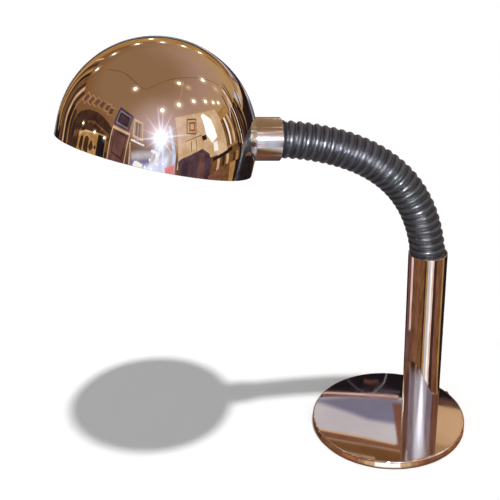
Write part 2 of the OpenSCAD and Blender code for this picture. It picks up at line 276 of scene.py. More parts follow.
# %% [markdown]
# ## Chrome plate
# Decorative chrome is a mirror with a faint blue-grey body. What makes it real is what
# spoils it: wiping smears, fine dust, and a trace of waviness from polishing the steel
# below. All three stay weak, because a mirror only has to be a little wrong to look used.

# %% Chrome finish
CHROME_COLOUR = (0.80, 0.80, 0.81, 1)
CHROME_DULL = (0.64, 0.62, 0.60, 1)
POLISHING_WAVE = 0.04 * MM


def chrome(name):
    material, shader, place = new_finish(name)
    smears = noise(place, 26, detail=4, stretch=(1, 1, 2.5)).step(0.5, 0.8)
    grain = noise(place, 900, detail=1)
    dust = specks(place, 420, 0.10) * noise(place, 60, detail=2).step(0.55, 0.7)
    set_sockets(
        shader,
        Base_Color=(smears * 0.10 + dust * 0.55).mix(CHROME_COLOUR, CHROME_DULL),
        Metallic=1.0,
        Roughness=0.022 + smears * 0.035 + grain * 0.012 + dust * 0.25,
        Normal=bump(noise(place, 14, detail=1), POLISHING_WAVE),
    )
    return material


# %% [markdown]
# ## The inside of the shade
# The shade is one sheet of metal with two faces: chrome outside, and white enamel inside
# to throw the light down. One material does both. The distance from the sphere's centre,
# or from the skirt's axis, tells which face a point is on.

# %% Chrome outside, enamel inside
ENAMEL = (0.86, 0.85, 0.82, 1)
ORANGE_PEEL = 0.08 * MM
AT_THE_SKIRT = 0.2 * MM


def vector_maths(operation, first, *second, out="Value"):
    """The Vector Math node: the first wire, and what it is combined with."""
    sockets = dict(enumerate((first, *second)))
    return first.node("ShaderNodeVectorMath", {"operation": operation}, sockets, out=out)


def shade_finish(name):
    material, shader, place = new_finish(name)
    away = vector_maths("SUBTRACT", place, shade_centre, out="Vector")
    up = vector_maths("DOT_PRODUCT", away, shade_frame.col[2].xyz)
    length = vector_maths("LENGTH", away)
    sideways = (length * length - up * up) ** 0.5
    below = 1 - up.step(-AT_THE_SKIRT, AT_THE_SKIRT)
    radius = below * sideways + (1 - below) * length
    outside = radius.step(SHADE_RADIUS - 0.6 * SHADE_WALL, SHADE_RADIUS - 0.3 * SHADE_WALL)
    smears = noise(place, 22, detail=4, stretch=(1, 1, 2.0)).step(0.5, 0.85)
    grain = noise(place, 900, detail=1)
    dust = specks(place, 380, 0.07) * noise(place, 40, detail=2).step(0.6, 0.72)
    plate = (smears * 0.08 + dust * 0.4).mix(CHROME_COLOUR, CHROME_DULL)
    plate_rough = 0.02 + smears * 0.03 + grain * 0.01 + dust * 0.2
    enamel_rough = 0.32 + grain * 0.1
    set_sockets(
        shader,
        Base_Color=outside.mix(ENAMEL, plate),
        Metallic=outside,
        Roughness=outside * plate_rough + (1 - outside) * enamel_rough,
        Normal=bump(noise(place, 700, detail=2) * (1 - outside), ORANGE_PEEL),
    )
    return material


# %% [markdown]
# ## Turned chrome on the coupler
# The coupler was turned on a lathe, lightly polished and plated. What is left of the tool
# are very fine rings round the axis, so the pattern is noise that depends only on the
# distance along the coupler. Such rings smear a reflection along the axis and keep it sharp
# round it, which is what the anisotropy does.

# %% Turned finish
SATIN_COLOUR = (0.72, 0.76, 0.80, 1)
SATIN_DARK = (0.46, 0.47, 0.49, 1)
TOOL_MARKS = 0.008 * MM


def tool_rings(along, scale, detail):
    """Noise that changes only with the height on the axis, so that it forms rings."""
    sockets = {"W": along, "Scale": scale, "Detail": detail}
    return along.node("ShaderNodeTexNoise", {"noise_dimensions": "1D"}, sockets)


def satin(name):
    material, shader, place = new_finish(name)
    along = place.node("ShaderNodeSeparateXYZ", None, {"Vector": place}, out="Z")
    rings = tool_rings(along, 1500, 3.0)
    stain = noise(place, 90, detail=4).step(0.45, 0.8)
    set_sockets(
        shader,
        Base_Color=(rings * 0.20 + stain * 0.25).mix(SATIN_COLOUR, SATIN_DARK),
        Metallic=1.0,
        Roughness=0.10 + rings * 0.08 + stain * 0.04,
        Normal=bump(rings + tool_rings(along, 330, 1.0), TOOL_MARKS),
        Anisotropic=0.9,
        Anisotropic_Rotation=0.25,
    )
    return material


# %% [markdown]
# ## Plain metals inside
# Zinc-plated steel, brass and the lamp's cap differ in colour, sheen and how blotchy they
# are, so one function with a few numbers makes them all.


# %% Metals
METALS = {
    "zinc_steel": ((0.58, 0.59, 0.60, 1), (0.42, 0.42, 0.44, 1), 0.28),
    "brass": ((0.80, 0.60, 0.30, 1), (0.55, 0.38, 0.17, 1), 0.22),
    "cap_metal": ((0.78, 0.76, 0.70, 1), (0.60, 0.56, 0.50, 1), 0.25),
    "tungsten": ((0.36, 0.35, 0.35, 1), (0.22, 0.21, 0.21, 1), 0.35),
}
METAL_GRAIN = 0.03 * MM


def metal(name, colour, stain, rough):
    material, shader, place = new_finish(name)
    cloud = noise(place, 60, detail=4)
    fine = noise(place, 1400, detail=2)
    set_sockets(
        shader,
        Base_Color=cloud.step(0.3, 0.8).mix(colour, stain),
        Metallic=1.0,
        Roughness=rough + cloud * 0.12 + fine * 0.05,
        Normal=bump(fine, METAL_GRAIN),
    )
    return material


# %% [markdown]
# ## Rubber
# The sleeve is smooth moulded rubber, charcoal more than black. The ribs are a blue-grey
# charcoal, and the grooves are painted nearly black, a painted shade in the recesses. The mesh
# knows where its ribs are: each point carries a number "rib", 0 in the groove and 1 on the crest.

# %% Rubber finish
RUBBER_GROOVE_SHADE = (0.006, 0.008, 0.015, 1)
RUBBER = (0.046, 0.051, 0.064, 1)
RUBBER_DUSTY = (0.084, 0.090, 0.106, 1)
RUBBER_SKIN = 0.04 * MM


def rubber(name):
    material, shader, place = new_finish(name)
    rib = place.node("ShaderNodeAttribute", {"attribute_name": "rib"}, out="Fac")
    cloud = noise(place, 70, detail=4)
    skin = noise(place, 1800, detail=2)
    lint = specks(place, 500, 0.12) * noise(place, 90, detail=1).step(0.5, 0.65)
    worn = cloud.step(0.40, 0.80) * 0.6 + lint * 0.4
    crest = rib.step(0.05, 0.75)
    set_sockets(
        shader,
        # the grooves get a near-black colour: painted shade in the recesses between the ribs
        Base_Color=crest.mix(RUBBER_GROOVE_SHADE, worn.mix(RUBBER, RUBBER_DUSTY)),
        Roughness=0.25 + cloud * 0.08 + lint * 0.2 + (1 - crest) * 0.15,
        Normal=bump(skin + cloud, RUBBER_SKIN),
    )
    return material


# %% [markdown]
# ## Cast iron, felt, porcelain, plastic and glass
# These are seen from below, through the shade's mouth or not at all, but each still gets
# its own grain: a cast skin, short fibres, a glaze with a slight orange peel. The glass of
# the lamp is etched inside, so it lets some light in and hides what is behind it. A row
# gives colour, stain, roughness, grains a metre and how deep the grain is.


# %% Other finishes
NON_METALS = {
    "cast_iron": ((0.055, 0.052, 0.050, 1), (0.11, 0.085, 0.07, 1), 0.6, 600, 0.3 * MM),
    "felt": ((0.02, 0.055, 0.035, 1), (0.035, 0.08, 0.05, 1), 0.9, 2600, 0.4 * MM),
    "bush_plastic": ((0.015, 0.015, 0.016, 1), (0.03, 0.03, 0.03, 1), 0.42, 1200, 0.05 * MM),
    "holder_ceramic": ((0.82, 0.80, 0.74, 1), (0.72, 0.69, 0.62, 1), 0.22, 500, 0.06 * MM),
    "black_glass": ((0.012, 0.012, 0.016, 1), (0.03, 0.03, 0.035, 1), 0.08, 300, 0.02 * MM),
    "clear_glass": ((0.90, 0.93, 0.92, 1), (0.82, 0.88, 0.86, 1), 0.05, 300, 0.02 * MM),
    "opal_glass": ((0.93, 0.93, 0.91, 1), (0.86, 0.86, 0.85, 1), 0.18, 900, 0.02 * MM),
}
GLAZE_AND_GLASS = {
    "holder_ceramic": {"Coat_Weight": 0.5},
    "clear_glass": {"Transmission_Weight": 0.9, "IOR": 1.5},
    "opal_glass": {"Transmission_Weight": 0.35, "IOR": 1.5},
}


def non_metal(name, colour, stain, rough, grain, depth, **sockets):
    material, shader, place = new_finish(name)
    skin = noise(place, grain, detail=3)
    set_sockets(
        shader,
        Base_Color=noise(place, 50, detail=4).step(0.3, 0.8).mix(colour, stain),
        Roughness=rough + skin * 0.12,
        Normal=bump(skin, depth),
        **sockets,
    )
    return material


# %% [markdown]
# ## Dress the CAD nodes
# The record says which material slot each node takes. One finish is made for each slot and
# put on all its nodes. Pieces made further down replace some of them.

# %% Assign the finishes
finish = {
    "chrome_plate": chrome("chrome_plate"),
    "satin_chrome": satin("satin_chrome"),
    "neck_rubber": rubber("neck_rubber"),
}
for slot, numbers in METALS.items():
    finish[slot] = metal(slot, *numbers)
for slot, numbers in NON_METALS.items():
    finish[slot] = non_metal(slot, *numbers, **GLAZE_AND_GLASS.get(slot, {}))
for row in frame["record"]["subparts"]:
    for place in nodes[row["node"]].material_slots:
        place.material = finish[row["material_slot"]]
print("finishes", sorted(finish))

# %% [markdown]
# ## Turning an outline
# The chromed pieces are all bodies of revolution. `outline` takes corners with a fillet
# radius each and rounds them. `lathe` turns the result round an axis, closing it at the
# poles or joining its end to its start. Edges sharper than 30 degrees stay crisp.


# %% Outline with rounded corners
def outline(*corners, steps=6):
    """Corners are (radius, height, fillet). Returns the outline's points, fillets as arcs."""
    points = []
    count = len(corners)
    for i, (r, z, fillet) in enumerate(corners):
        here = np.array((r, z), float)
        if fillet == 0:
            points.append(tuple(here))
            continue
        before = np.array(corners[i - 1][:2], float) - here
        after = np.array(corners[(i + 1) % count][:2], float) - here
        before /= np.linalg.norm(before)
        after /= np.linalg.norm(after)
        half = math.acos(float(before @ after)) / 2
        middle = (before + after) / np.linalg.norm(before + after)
        centre = here + middle * fillet / math.sin(half)
        start = here + before * fillet / math.tan(half) - centre
        end = here + after * fillet / math.tan(half) - centre
        sweep = math.atan2(start[0] * end[1] - start[1] * end[0], float(start @ end))
        for k in range(steps + 1):
            turn = sweep * k / steps
            spin = np.array(((math.cos(turn), -math.sin(turn)), (math.sin(turn), math.cos(turn))))
            points.append(tuple(centre + spin @ start))
    return points


def arc(radius, start, end, steps):
    """Points on a circle about the origin, angles from the axis in degrees."""
    angles = [math.radians(start + (end - start) * k / steps) for k in range(steps + 1)]
    return [(radius * math.sin(a), radius * math.cos(a)) for a in angles]


# %% Object from a mesh under construction
CREASE = math.radians(30)


def finish_mesh(name, bm, material, crease=CREASE):
    """Closes the construction: normals outwards, smooth shading, sharp only past the crease."""
    bmesh.ops.recalc_face_normals(bm, faces=bm.faces)
    mesh = bpy.data.meshes.new(name)
    bm.to_mesh(mesh)
    bm.free()
    piece = bpy.data.objects.new(name, mesh)
    bpy.context.scene.collection.objects.link(piece)
    mesh.materials.append(material)
    mesh.shade_smooth()
    mesh.set_sharp_from_angle(angle=crease)
    return piece


# %% Lathe
def lathe(name, points, place, material, segments=192, closed=True):
    """Turns (radius, height) points about the z axis of the matrix place."""
    bm = bmesh.new()
    turns = [2 * math.pi * k / segments for k in range(segments)]
    rings = []
    for r, z in points:
        at = [(r * math.cos(a), r * math.sin(a), z) for a in turns] if r > 0 else [(0, 0, z)]
        rings.append([bm.verts.new(place @ Vector(point)) for point in at])
    pairs = list(zip(rings, rings[1:]))
    if closed:
        pairs.append((rings[-1], rings[0]))
    for low, high in pairs:
        for k in range(segments):
            n = (k + 1) % segments
            around = ((low, k), (low, n), (high, n), (high, k))
            corners = [ring[i % len(ring)] for ring, i in around]
            unique = [v for i, v in enumerate(corners) if v not in corners[:i]]
            if len(unique) > 2:
                bm.faces.new(unique)
    return finish_mesh(name, bm, material)


# %% Dress a finished piece
def piece_box(piece):
    co = np.array([v.co for v in piece.data.vertices])
    return co.min(0).round(4), co.max(0).round(4)


def dress(piece, body, slot, *stands_for):
    """Puts the piece on its body and hides the CAD nodes behind it. The slot is not used."""
    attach(piece, body)
    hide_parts(*stands_for)
    low, high = piece_box(piece)
    print(piece.name, "faces", len(piece.data.polygons), "from", low, "to", high)


# %% Drill
DRILL_SEGMENTS = 96


def drill(piece, radius, start, end, place):
    """Cuts a round hole along the z axis of the matrix place, with a Boolean."""
    points = [(0, start), (radius, start), (radius, end), (0, end)]
    skin = piece.data.materials[0]
    cutter = lathe("drill", points, place, skin, DRILL_SEGMENTS, closed=False)
    cut = piece.modifiers.new("hole", "BOOLEAN")
    cut.object = cutter
    cut.solver = "EXACT"
    bpy.context.view_layer.update()
    drilled = piece.evaluated_get(bpy.context.evaluated_depsgraph_get())
    mesh = bpy.data.meshes.new_from_object(drilled)
    piece.modifiers.clear()
    piece.data = mesh
    bpy.data.objects.remove(cutter)
    mesh.set_sharp_from_angle(angle=CREASE)


# %% [markdown]
# ## The shade
# Outside and inside are two arcs joined at the rim, where the sheet's edge is slightly
# rounded. The hole for the collar is cut across the wall with a Boolean, and its edge is
# covered by the coupler outside and the ring nut inside.

# %% Turn the shade and cut its hole
RIM_ROUND = 0.35 * MM
ARC_STEPS = 96
SHADE_SEGMENTS = 320
inner_radius = SHADE_RADIUS - SHADE_WALL
rim = outline(
    (SHADE_RADIUS, 0, 0),
    (SHADE_RADIUS, -SKIRT, RIM_ROUND),
    (inner_radius, -SKIRT, RIM_ROUND),
    (inner_radius, 0, 0),
)
outer_arc = arc(SHADE_RADIUS, 0, 90, ARC_STEPS)[:-1]
inner_arc = arc(inner_radius, 90, 0, ARC_STEPS)[1:]
shade = lathe(
    "shade_shell", outer_arc + rim + inner_arc, shade_frame, shade_finish("shade_sheet"),
    SHADE_SEGMENTS, closed=False,
)
drill(shade, COLLAR_HOLE, 0, shade_reach, coupler_frame)
dress(shade, "head", "chrome_plate", "shade_dome")

# %% [markdown]
# ## The cover of the base
# A shallow pressed lid, 9 mm high, its edge rolled down with a small radius. The flat top
# gets an extra ring of points just inside the edge, or the smooth shading of the edge would
# run all over it. One hole takes the bush of the cord.

# %% Turn the cover and cut the bush's hole
COVER_RADIUS = 80 * MM
COVER_TOP = 9 * MM
COVER_WALL = 1 * MM
COVER_LIFT = 0.5 * MM
COVER_EDGE = 1.6 * MM
BUSH_HOLE = 3.42 * MM
DRILL_FROM, DRILL_TO = 70 * MM, 85 * MM
COVER_SEGMENTS = 384
inner_wall, inner_top = COVER_RADIUS - COVER_WALL, COVER_TOP - COVER_WALL
cover_points = outline(
    (0, COVER_TOP, 0),
    (COVER_RADIUS - COVER_EDGE - 0.1 * MM, COVER_TOP, 0),
    (COVER_RADIUS, COVER_TOP, COVER_EDGE),
    (COVER_RADIUS, COVER_LIFT, 0.1 * MM),
    (inner_wall, COVER_LIFT, 0.1 * MM),
    (inner_wall, inner_top, 0.8 * MM),
    (0, inner_top, 0),
    steps=10,
)
cover = lathe(
    "base_shell", cover_points, Matrix.Identity(4), finish["chrome_plate"],
    COVER_SEGMENTS, closed=False,
)
bush = box_centre("cord_bush")
outward = Vector((bush.x, bush.y, 0)).normalized()
drill(cover, BUSH_HOLE, DRILL_FROM, DRILL_TO, axis_frame(Vector((0, 0, bush.z)), outward))
dress(cover, bodies[0], "chrome_plate", "base_cover")

# %% [markdown]
# ## The tube
# A plain chromed tube with a softly rounded rim. It is a real tube: its bright inner wall
# shows in the gap round the neck.

# %% Turn the tube
STEM_WALL = 1.0 * MM
tube_points = outline(
    (STEM_RADIUS, stem_foot.z, 0),
    (STEM_RADIUS, stem_top, 0.4 * MM),
    (STEM_RADIUS - STEM_WALL, stem_top, 0.3 * MM),
    (STEM_RADIUS - STEM_WALL, stem_foot.z, 0),
)
stem_place = Matrix.Translation((stem_foot.x, stem_foot.y, 0))
tube = lathe("stem_shell", tube_points, stem_place, finish["chrome_plate"])
dress(tube, bodies[0], "chrome_plate", "stem_tube")

# %% [markdown]
# ## The coupler
# A thick turned ring between neck and shade. Its mouth has a generous chamfer with eased
# edges, and its far end is cut to the sphere, so the barrel meets the shade all round.

# %% Turn the coupler's barrel
COUPLER_MOUTH = -0.2 * MM
CHAMFER = (2.8 * MM, 2.2 * MM)
MOUTH_RADIUS = 15.6 * MM
COLLAR_RADIUS = 18.0 * MM
BARREL_BORE = 16.7 * MM
COLLAR_END = 33.8 * MM
WEB = (8.0 * MM, 11.0 * MM)
STUD_HOLE = 5.05 * MM
sphere_gap = 0.05 * MM


def on_shade(r):
    """Height on the coupler's axis at which radius r touches the shade."""
    return shade_reach - math.sqrt((SHADE_RADIUS + sphere_gap) ** 2 - r ** 2)


barrel_points = outline(
    (MOUTH_RADIUS, COUPLER_MOUTH, 0.3 * MM),
    (COUPLER_RADIUS - CHAMFER[0], COUPLER_MOUTH, 0.6 * MM),
    (COUPLER_RADIUS, COUPLER_MOUTH + CHAMFER[1], 0.8 * MM),
    (COUPLER_RADIUS, on_shade(COUPLER_RADIUS), 0.15 * MM),
    (COLLAR_RADIUS, on_shade(COLLAR_RADIUS), 0),
    (COLLAR_RADIUS, COLLAR_END, 0.3 * MM),
    (BARREL_BORE, COLLAR_END, 0.3 * MM),
    (BARREL_BORE, WEB[1], 0),
    (STUD_HOLE, WEB[1], 0),
    (STUD_HOLE, WEB[0], 0),
    (MOUTH_RADIUS, WEB[0], 0),
)
barrel = lathe("coupler_barrel", barrel_points, Matrix.Identity(4), finish["satin_chrome"])
barrel.matrix_world = coupler_frame
dress(barrel, "head", "satin_chrome", "coupler")

# %% [markdown]
# ## The ribbed sleeve
# The sleeve is one rubber moulding with a single thread of rib that winds round it, left
# handed. It could be a screw modifier, but it has to bend with fourteen links, so it is
# computed: a point is given by how far along the neck it is and how far round. The middle
# line runs in arcs from the middle of one link to the middle of the next. Where the neck
# swings sideways, the arc is one piece, made in its rest place and tied to neither link.
# Where it nods, the arc is two stiff lengths, one on each link. They overlap, and each
# dives under the other past the hinge, so the rib stays whole when the hinge opens.

# %% Middle line of the neck
directions = [Vector((0, 0, 1))]
for low, high in zip(hinges, hinges[1:]):
    directions.append((high - low).normalized())
directions.append(coupler_axis)
half_link = link_length / 2


def middle_line(hinge, t):
    """Point and direction at share t of the arc round a hinge, from mid link to mid link."""
    before, after = directions[hinge], directions[hinge + 1]
    bend = before.angle(after)
    turn = bend * t
    start = hinges[hinge] - before * half_link
    inward = (after - before * before.dot(after)).normalized()
    radius = half_link / math.tan(bend / 2)
    run, sag = radius * math.sin(turn), radius * (1 - math.cos(turn))
    return start + before * run + inward * sag, before * math.cos(turn) + inward * math.sin(turn)


print("hinges in the neck", len(hinges), "half a link", round(half_link / MM, 2), "mm")


# %% Section of the rib
RIB_TOP = 17.6 * MM
GROOVE = 15.5 * MM
BEAD_TOP = 16.35 * MM
SLEEVE_BORE = 13.9 * MM
RIBS_PER_LINK = 2
RIB_HALF = 0.31
BEAD_HALF = 0.085
BEAD_AT = 0.57
RIB_START = 0.47


def rib_section(turns):
    """Radius and crest, 0 in the groove to 1 on top, after this many turns of the thread."""
    from_crest = abs((turns % 1.0) - 0.5) / RIB_HALF
    if from_crest < 1:
        swell = (1 - from_crest ** 2.3) ** 0.65
        return GROOVE + (RIB_TOP - GROOVE) * swell, 1 - from_crest ** 2
    from_bead = abs((turns - BEAD_AT) % 1.0 - 0.5) / BEAD_HALF
    if from_bead < 1:
        fall = 1 - from_bead ** 2
        return GROOVE + (BEAD_TOP - GROOVE) * fall ** 0.5, 0.9 * fall
    return GROOVE, 0.0


print("rib every", round(link_length / RIBS_PER_LINK / MM, 2), "mm")

# %% Points of the sleeve
last_hinge = len(hinges) - 1
TUCK_START = 0.46
TUCK_RADIUS = 15.2 * MM
OVERLAP = 0.12
DIVE = 2.2 * MM
THINNEST = SLEEVE_BORE + 0.4 * MM


def sleeve_point(hinge, t, angle, split=None, side=0):
    """Side -1 is the length before the split and 1 the one after it; past the split it dives."""
    point, along = middle_line(hinge, t)
    across = Vector((0, 1, 0))
    out = across.cross(along)
    turns = (hinge + t) * RIBS_PER_LINK + angle / (2 * math.pi) + RIB_START
    radius, crest = rib_section(turns)
    if hinge == last_hinge and t > TUCK_START:
        radius = min(radius, TUCK_RADIUS)
    if side and (split - t) * side > 0:
        radius = max(radius - DIVE * ((split - t) / OVERLAP) ** 2, THINNEST)
    return point, out * math.cos(angle) + across * math.sin(angle), radius, crest


# %% One length of the sleeve
AROUND = 96
ALONG = 72
INNER_EVERY = 8
RIB_CREASE = math.radians(60)
round_angles = [2 * math.pi * k / AROUND for k in range(AROUND)]


def sleeve_piece(name, hinge, first, last, split=None, side=0):
    """The sleeve from share first to share last of a hinge's arc, as a closed tube."""
    bm = bmesh.new()
    rib = bm.verts.layers.float.new("rib")
    rings = max(2, round(ALONG * (last - first)))
    outer, inner = [], []
    for i in range(rings + 1):
        t = first + (last - first) * i / rings
        rows = [sleeve_point(hinge, t, angle, split, side) for angle in round_angles]
        outer.append([bm.verts.new(point + out * radius) for point, out, radius, _ in rows])
        for vert, (*_, crest) in zip(outer[-1], rows):
            vert[rib] = crest
        if i == rings or i % INNER_EVERY == 0:
            inner.append([bm.verts.new(point + out * SLEEVE_BORE) for point, out, *_ in rows])
    for skin in (outer, inner, [outer[0], inner[0]], [outer[-1], inner[-1]]):
        for low, high in zip(skin, skin[1:]):
            for k in range(AROUND):
                n = (k + 1) % AROUND
                bm.faces.new((low[k], low[n], high[n], high[k]))
    piece = finish_mesh(name, bm, finish["neck_rubber"], RIB_CREASE)
    return piece


# %% Build the sleeve
MOUTH_START = 0.32
COUPLER_STOP = 0.58
COUPLER_SPLIT, COUPLER_OVERLAP = 0.24, 0.08
sleeve_nodes = {f"sleeve_{n:02d}" for n in range(1, last_hinge + 1)}
lengths = []
for hinge, joint in enumerate(frame["joints"]):
    first = MOUTH_START if hinge == 0 else 0
    last = COUPLER_STOP if hinge == last_hinge else 1
    before, after = f"sleeve_{hinge:02d}", f"sleeve_{hinge + 1:02d}"
    if joint["name"].startswith("swing"):
        piece = sleeve_piece(f"ribs_{hinge:02d}", hinge, first, last)
        ends = {"start": middle_line(hinge, 0)[0], "end": middle_line(hinge, 1)[0]}
        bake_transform(piece)
        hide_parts(before, after)
        lengths.append(piece)
        continue
    split, reach = (COUPLER_SPLIT, COUPLER_OVERLAP) if hinge == last_hinge else (0.5, OVERLAP)
    halves = [
        ("low", -1, first, split + reach, bodies[hinge], before),
        ("high", 1, split - reach, last, bodies[hinge + 1], after),
    ]
    for half, side, start, end, body, node in halves:
        piece = sleeve_piece(f"ribs_{hinge:02d}_{half}", hinge, start, end, split, side)
        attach(piece, body)
        if node in sleeve_nodes:
            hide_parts(node)
        lengths.append(piece)
print("lengths", len(lengths), "faces", sum(len(piece.data.polygons) for piece in lengths))

# %% [markdown]
# ## Floor and background
# The lamp stands on plain white. The floor is a real surface, so it keeps the lamp's soft
# shadow. The world is white for the camera and for mirrors, and weaker as a light.

# %% Emission and diffuse for the stage
def stage_material(name):
    material = bpy.data.materials.new(name)
    material.use_nodes = True
    material.node_tree.nodes.clear()
    return Wire(material.node_tree), material


def show(surface, target="ShaderNodeOutputMaterial"):
    made = surface.tree.nodes.new(target)
    surface.tree.links.new(surface.socket, made.inputs["Surface"])


def glow(wire, colour, strength):
    return wire.node("ShaderNodeEmission", None, {"Color": colour, "Strength": strength})


def keep_as_stage(mesh, name, material):
    mesh.materials.append(material)
    made = bpy.data.objects.new(name, mesh)
    bpy.context.scene.collection.objects.link(made)
    return made


# %% Floor and world
SQUARE = [(-1, -1, 0), (1, -1, 0), (1, 1, 0), (-1, 1, 0)]
FLOOR_HALF = 6.0
FILL = 0.42
wire, white = stage_material("floor_white")
show(wire.node("ShaderNodeBsdfDiffuse", None, {"Color": grey(0.93)}))
floor_mesh = bpy.data.meshes.new("floor")
corners = [(x * FLOOR_HALF, y * FLOOR_HALF, z) for x, y, z in SQUARE]
floor_mesh.from_pydata(corners, [], [(0, 1, 2, 3)])
floor = keep_as_stage(floor_mesh, "floor", white)
floor.visible_glossy = False

world = bpy.data.worlds.new("studio")
bpy.context.scene.world = world
world.use_nodes = True
world.node_tree.nodes.clear()
wire = Wire(world.node_tree)
rays = [
    wire.node("ShaderNodeLightPath", out=name)
    for name in ("Is Camera Ray", "Is Glossy Ray", "Is Transmission Ray")
]
seen = wire.math("MAXIMUM", wire.math("MAXIMUM", rays[0], rays[1]), rays[2])
level = FILL + (1 - FILL) * seen
sky = wire.node("ShaderNodeBackground", None, {"Color": grey(1.0), "Strength": level})
show(sky, "ShaderNodeOutputWorld")
print("floor", 2 * FLOOR_HALF, "m, fill light", FILL)

# %% [markdown]
# ## A room for the mirror to see
# Chrome has no colour of its own: it looks like the place where it stands. This one stands
# in a warm vaulted room. A picture could be wrapped round the scene instead, but plain
# glowing cards are easier to read and to change. Each lies on a large sphere round the
# shade and is placed by compass direction and height angle, in degrees. Azimuth 0 is
# straight behind the lamp, 90 to its right and 180 towards the camera. Only mirrors see
# the cards, so they tint the metal and nothing else. A tone is a light and a darker colour,
# and slow clouds of the one lie in the other.

# %% Tones of the room
TONES = {
    "ceiling": ((138, 103, 72), (124, 90, 60)),
    "blush": ((164, 128, 108), (150, 114, 92)),
    "gold": ((176, 132, 78), (148, 106, 58)),
    "wall": ((112, 78, 54), (92, 60, 40)),
    "plaster": ((172, 136, 98), (150, 114, 78)),
    "cream": ((218, 184, 146), (190, 152, 112)),
    "white": ((255, 250, 240), (240, 230, 216)),
    "ice": ((222, 226, 244), (186, 188, 214)),
    "violet": ((150, 142, 172), (112, 102, 134)),
    "lilac": ((198, 188, 188), (182, 172, 174)),
    "slate": ((128, 122, 140), (112, 106, 122)),
    "steel": ((134, 138, 150), (92, 96, 108)),
    "rose": ((232, 204, 196), (206, 160, 150)),
    "coral": ((236, 140, 136), (216, 116, 116)),
    "wine": ((116, 78, 70), (86, 54, 50)),
    "plum": ((92, 66, 72), (60, 42, 50)),
    "haze": ((156, 136, 142), (128, 108, 118)),
    "brown": ((124, 84, 50), (94, 60, 36)),
    "umber": ((76, 50, 36), (50, 32, 24)),
    "dark": ((42, 30, 30), (26, 20, 22)),
    "copper": ((164, 100, 68), (120, 70, 46)),
    "rust": ((132, 86, 66), (106, 66, 50)),
    "tan": ((212, 174, 134), (184, 144, 106)),
}
CHROME_LOSS = 1.25
FAR_SOFT = 0.035
paints = {}


def see_through(mask, light):
    """The glow where the mask is 1, and what lies behind the card where it is 0."""
    clear = mask.node("ShaderNodeBsdfTransparent")
    return mask.node("ShaderNodeMixShader", None, {0: mask, 1: clear, 2: light})


def edge_mask(wire, soft):
    """0 at the card's edge, 1 from soft metres inwards. The mesh carries the distances."""
    nearest = []
    for name in ("from_start", "from_end"):
        away = wire.node("ShaderNodeAttribute", {"attribute_name": name}, out="Vector")
        sides = [away.node("ShaderNodeSeparateXYZ", None, {"Vector": away}, out=k) for k in (0, 1)]
        nearest.append(wire.math("MINIMUM", *sides))
    return wire.math("MINIMUM", *nearest).step(0.0, soft)


def paint(tone, strength=1.0, soft=FAR_SOFT, clouds=1.6):
    """A glow with slow clouds of the tone's darker shade and finer mottling."""
    key = (tone, strength, soft, clouds)
    if key not in paints:
        wire, material = stage_material(f"room_{tone}_{len(paints):02d}")
        place = wire.node("ShaderNodeTexCoord", out="Object")
        light, shade = [linear(*colour) for colour in TONES[tone]]
        slow, fine = noise(place, clouds, detail=3), noise(place, clouds * 9, detail=3)
        colour = (slow * 0.65 + fine * 0.35).step(0.36, 0.64).mix(light, shade)
        show(see_through(edge_mask(wire, soft), glow(wire, colour, strength * CHROME_LOSS)))
        paints[key] = material
    return paints[key]


print("tones", len(TONES))

# %% Directions
def direction(azimuth, height):
    """The unit vector towards a compass direction and a height angle, in degrees."""
    a, h = math.radians(azimuth), math.radians(height)
    return np.array((math.sin(a) * math.cos(h), math.cos(a) * math.cos(h), math.sin(h)))


def path(points, count=17):
    """Directions along a line of (azimuth, height) corners."""
    corners = np.array([direction(a, h) for a, h in points])
    at = np.linspace(0, len(corners) - 1, count)
    line = [np.interp(at, range(len(corners)), corners[:, k]) for k in range(3)]
    line = np.stack(line, axis=1)
    return line / np.linalg.norm(line, axis=1, keepdims=True)


# %% Cards
ROOM_RADIUS = 5.0
CARD_STEP = 0.012
cards = []


def mirror_only(made):
    """Hides a thing from the camera, from plain surfaces and from the shadows."""
    made.visible_camera = False
    made.visible_diffuse = False
    made.visible_shadow = False
    return made


def card(grid, material):
    """A sheet through rows of points. Each point keeps its distances from the four edges."""
    grid = np.array(grid, float)
    rows, count = grid.shape[:2]
    faces = [
        (r * count + c, r * count + c + 1, (r + 1) * count + c + 1, (r + 1) * count + c)
        for r in range(rows - 1)
        for c in range(count - 1)
    ]
    mesh = bpy.data.meshes.new(f"card_{len(cards):03d}")
    mesh.from_pydata(grid.reshape(-1, 3).tolist(), [], faces)
    from_start, from_end = np.zeros_like(grid), np.zeros_like(grid)
    for axis, part in ((1, 0), (0, 1)):
        steps = np.linalg.norm(np.diff(grid, axis=axis), axis=2)
        run = np.insert(np.cumsum(steps, axis=axis), 0, 0, axis=axis)
        from_start[:, :, part] = run
        from_end[:, :, part] = np.take(run, [-1], axis=axis) - run
    for name, values in (("from_start", from_start), ("from_end", from_end)):
        kept = mesh.attributes.new(name, "FLOAT_VECTOR", "POINT")
        kept.data.foreach_set("vector", values.ravel())
    cards.append(mirror_only(keep_as_stage(mesh, mesh.name, material)))


def hang(rows, material, eye=np.array(shade_centre), distance=None):
    """A card through rows of directions, each card a little nearer than the one before."""
    distance = distance or ROOM_RADIUS - CARD_STEP * len(cards)
    rays = np.array([[ray / np.linalg.norm(ray) for ray in row] for row in rows])
    card(eye + rays * distance, material)


# %% Sheets, panels and ribbons
def sheet(tone, low_edge, high_edge, strength=1.0, soft=FAR_SOFT, **place):
    """A card between two lines of corners."""
    low, high = path(low_edge), path(high_edge)
    rows = [low + (high - low) * share for share in np.linspace(0, 1, 7)]
    hang(rows, paint(tone, strength, soft), **place)


def panel(tone, west, east, low, high, **look):
    """A card between two azimuths and two heights."""
    turns = np.linspace(west, east, 7)
    sheet(tone, [(a, low) for a in turns], [(a, high) for a in turns], **look)


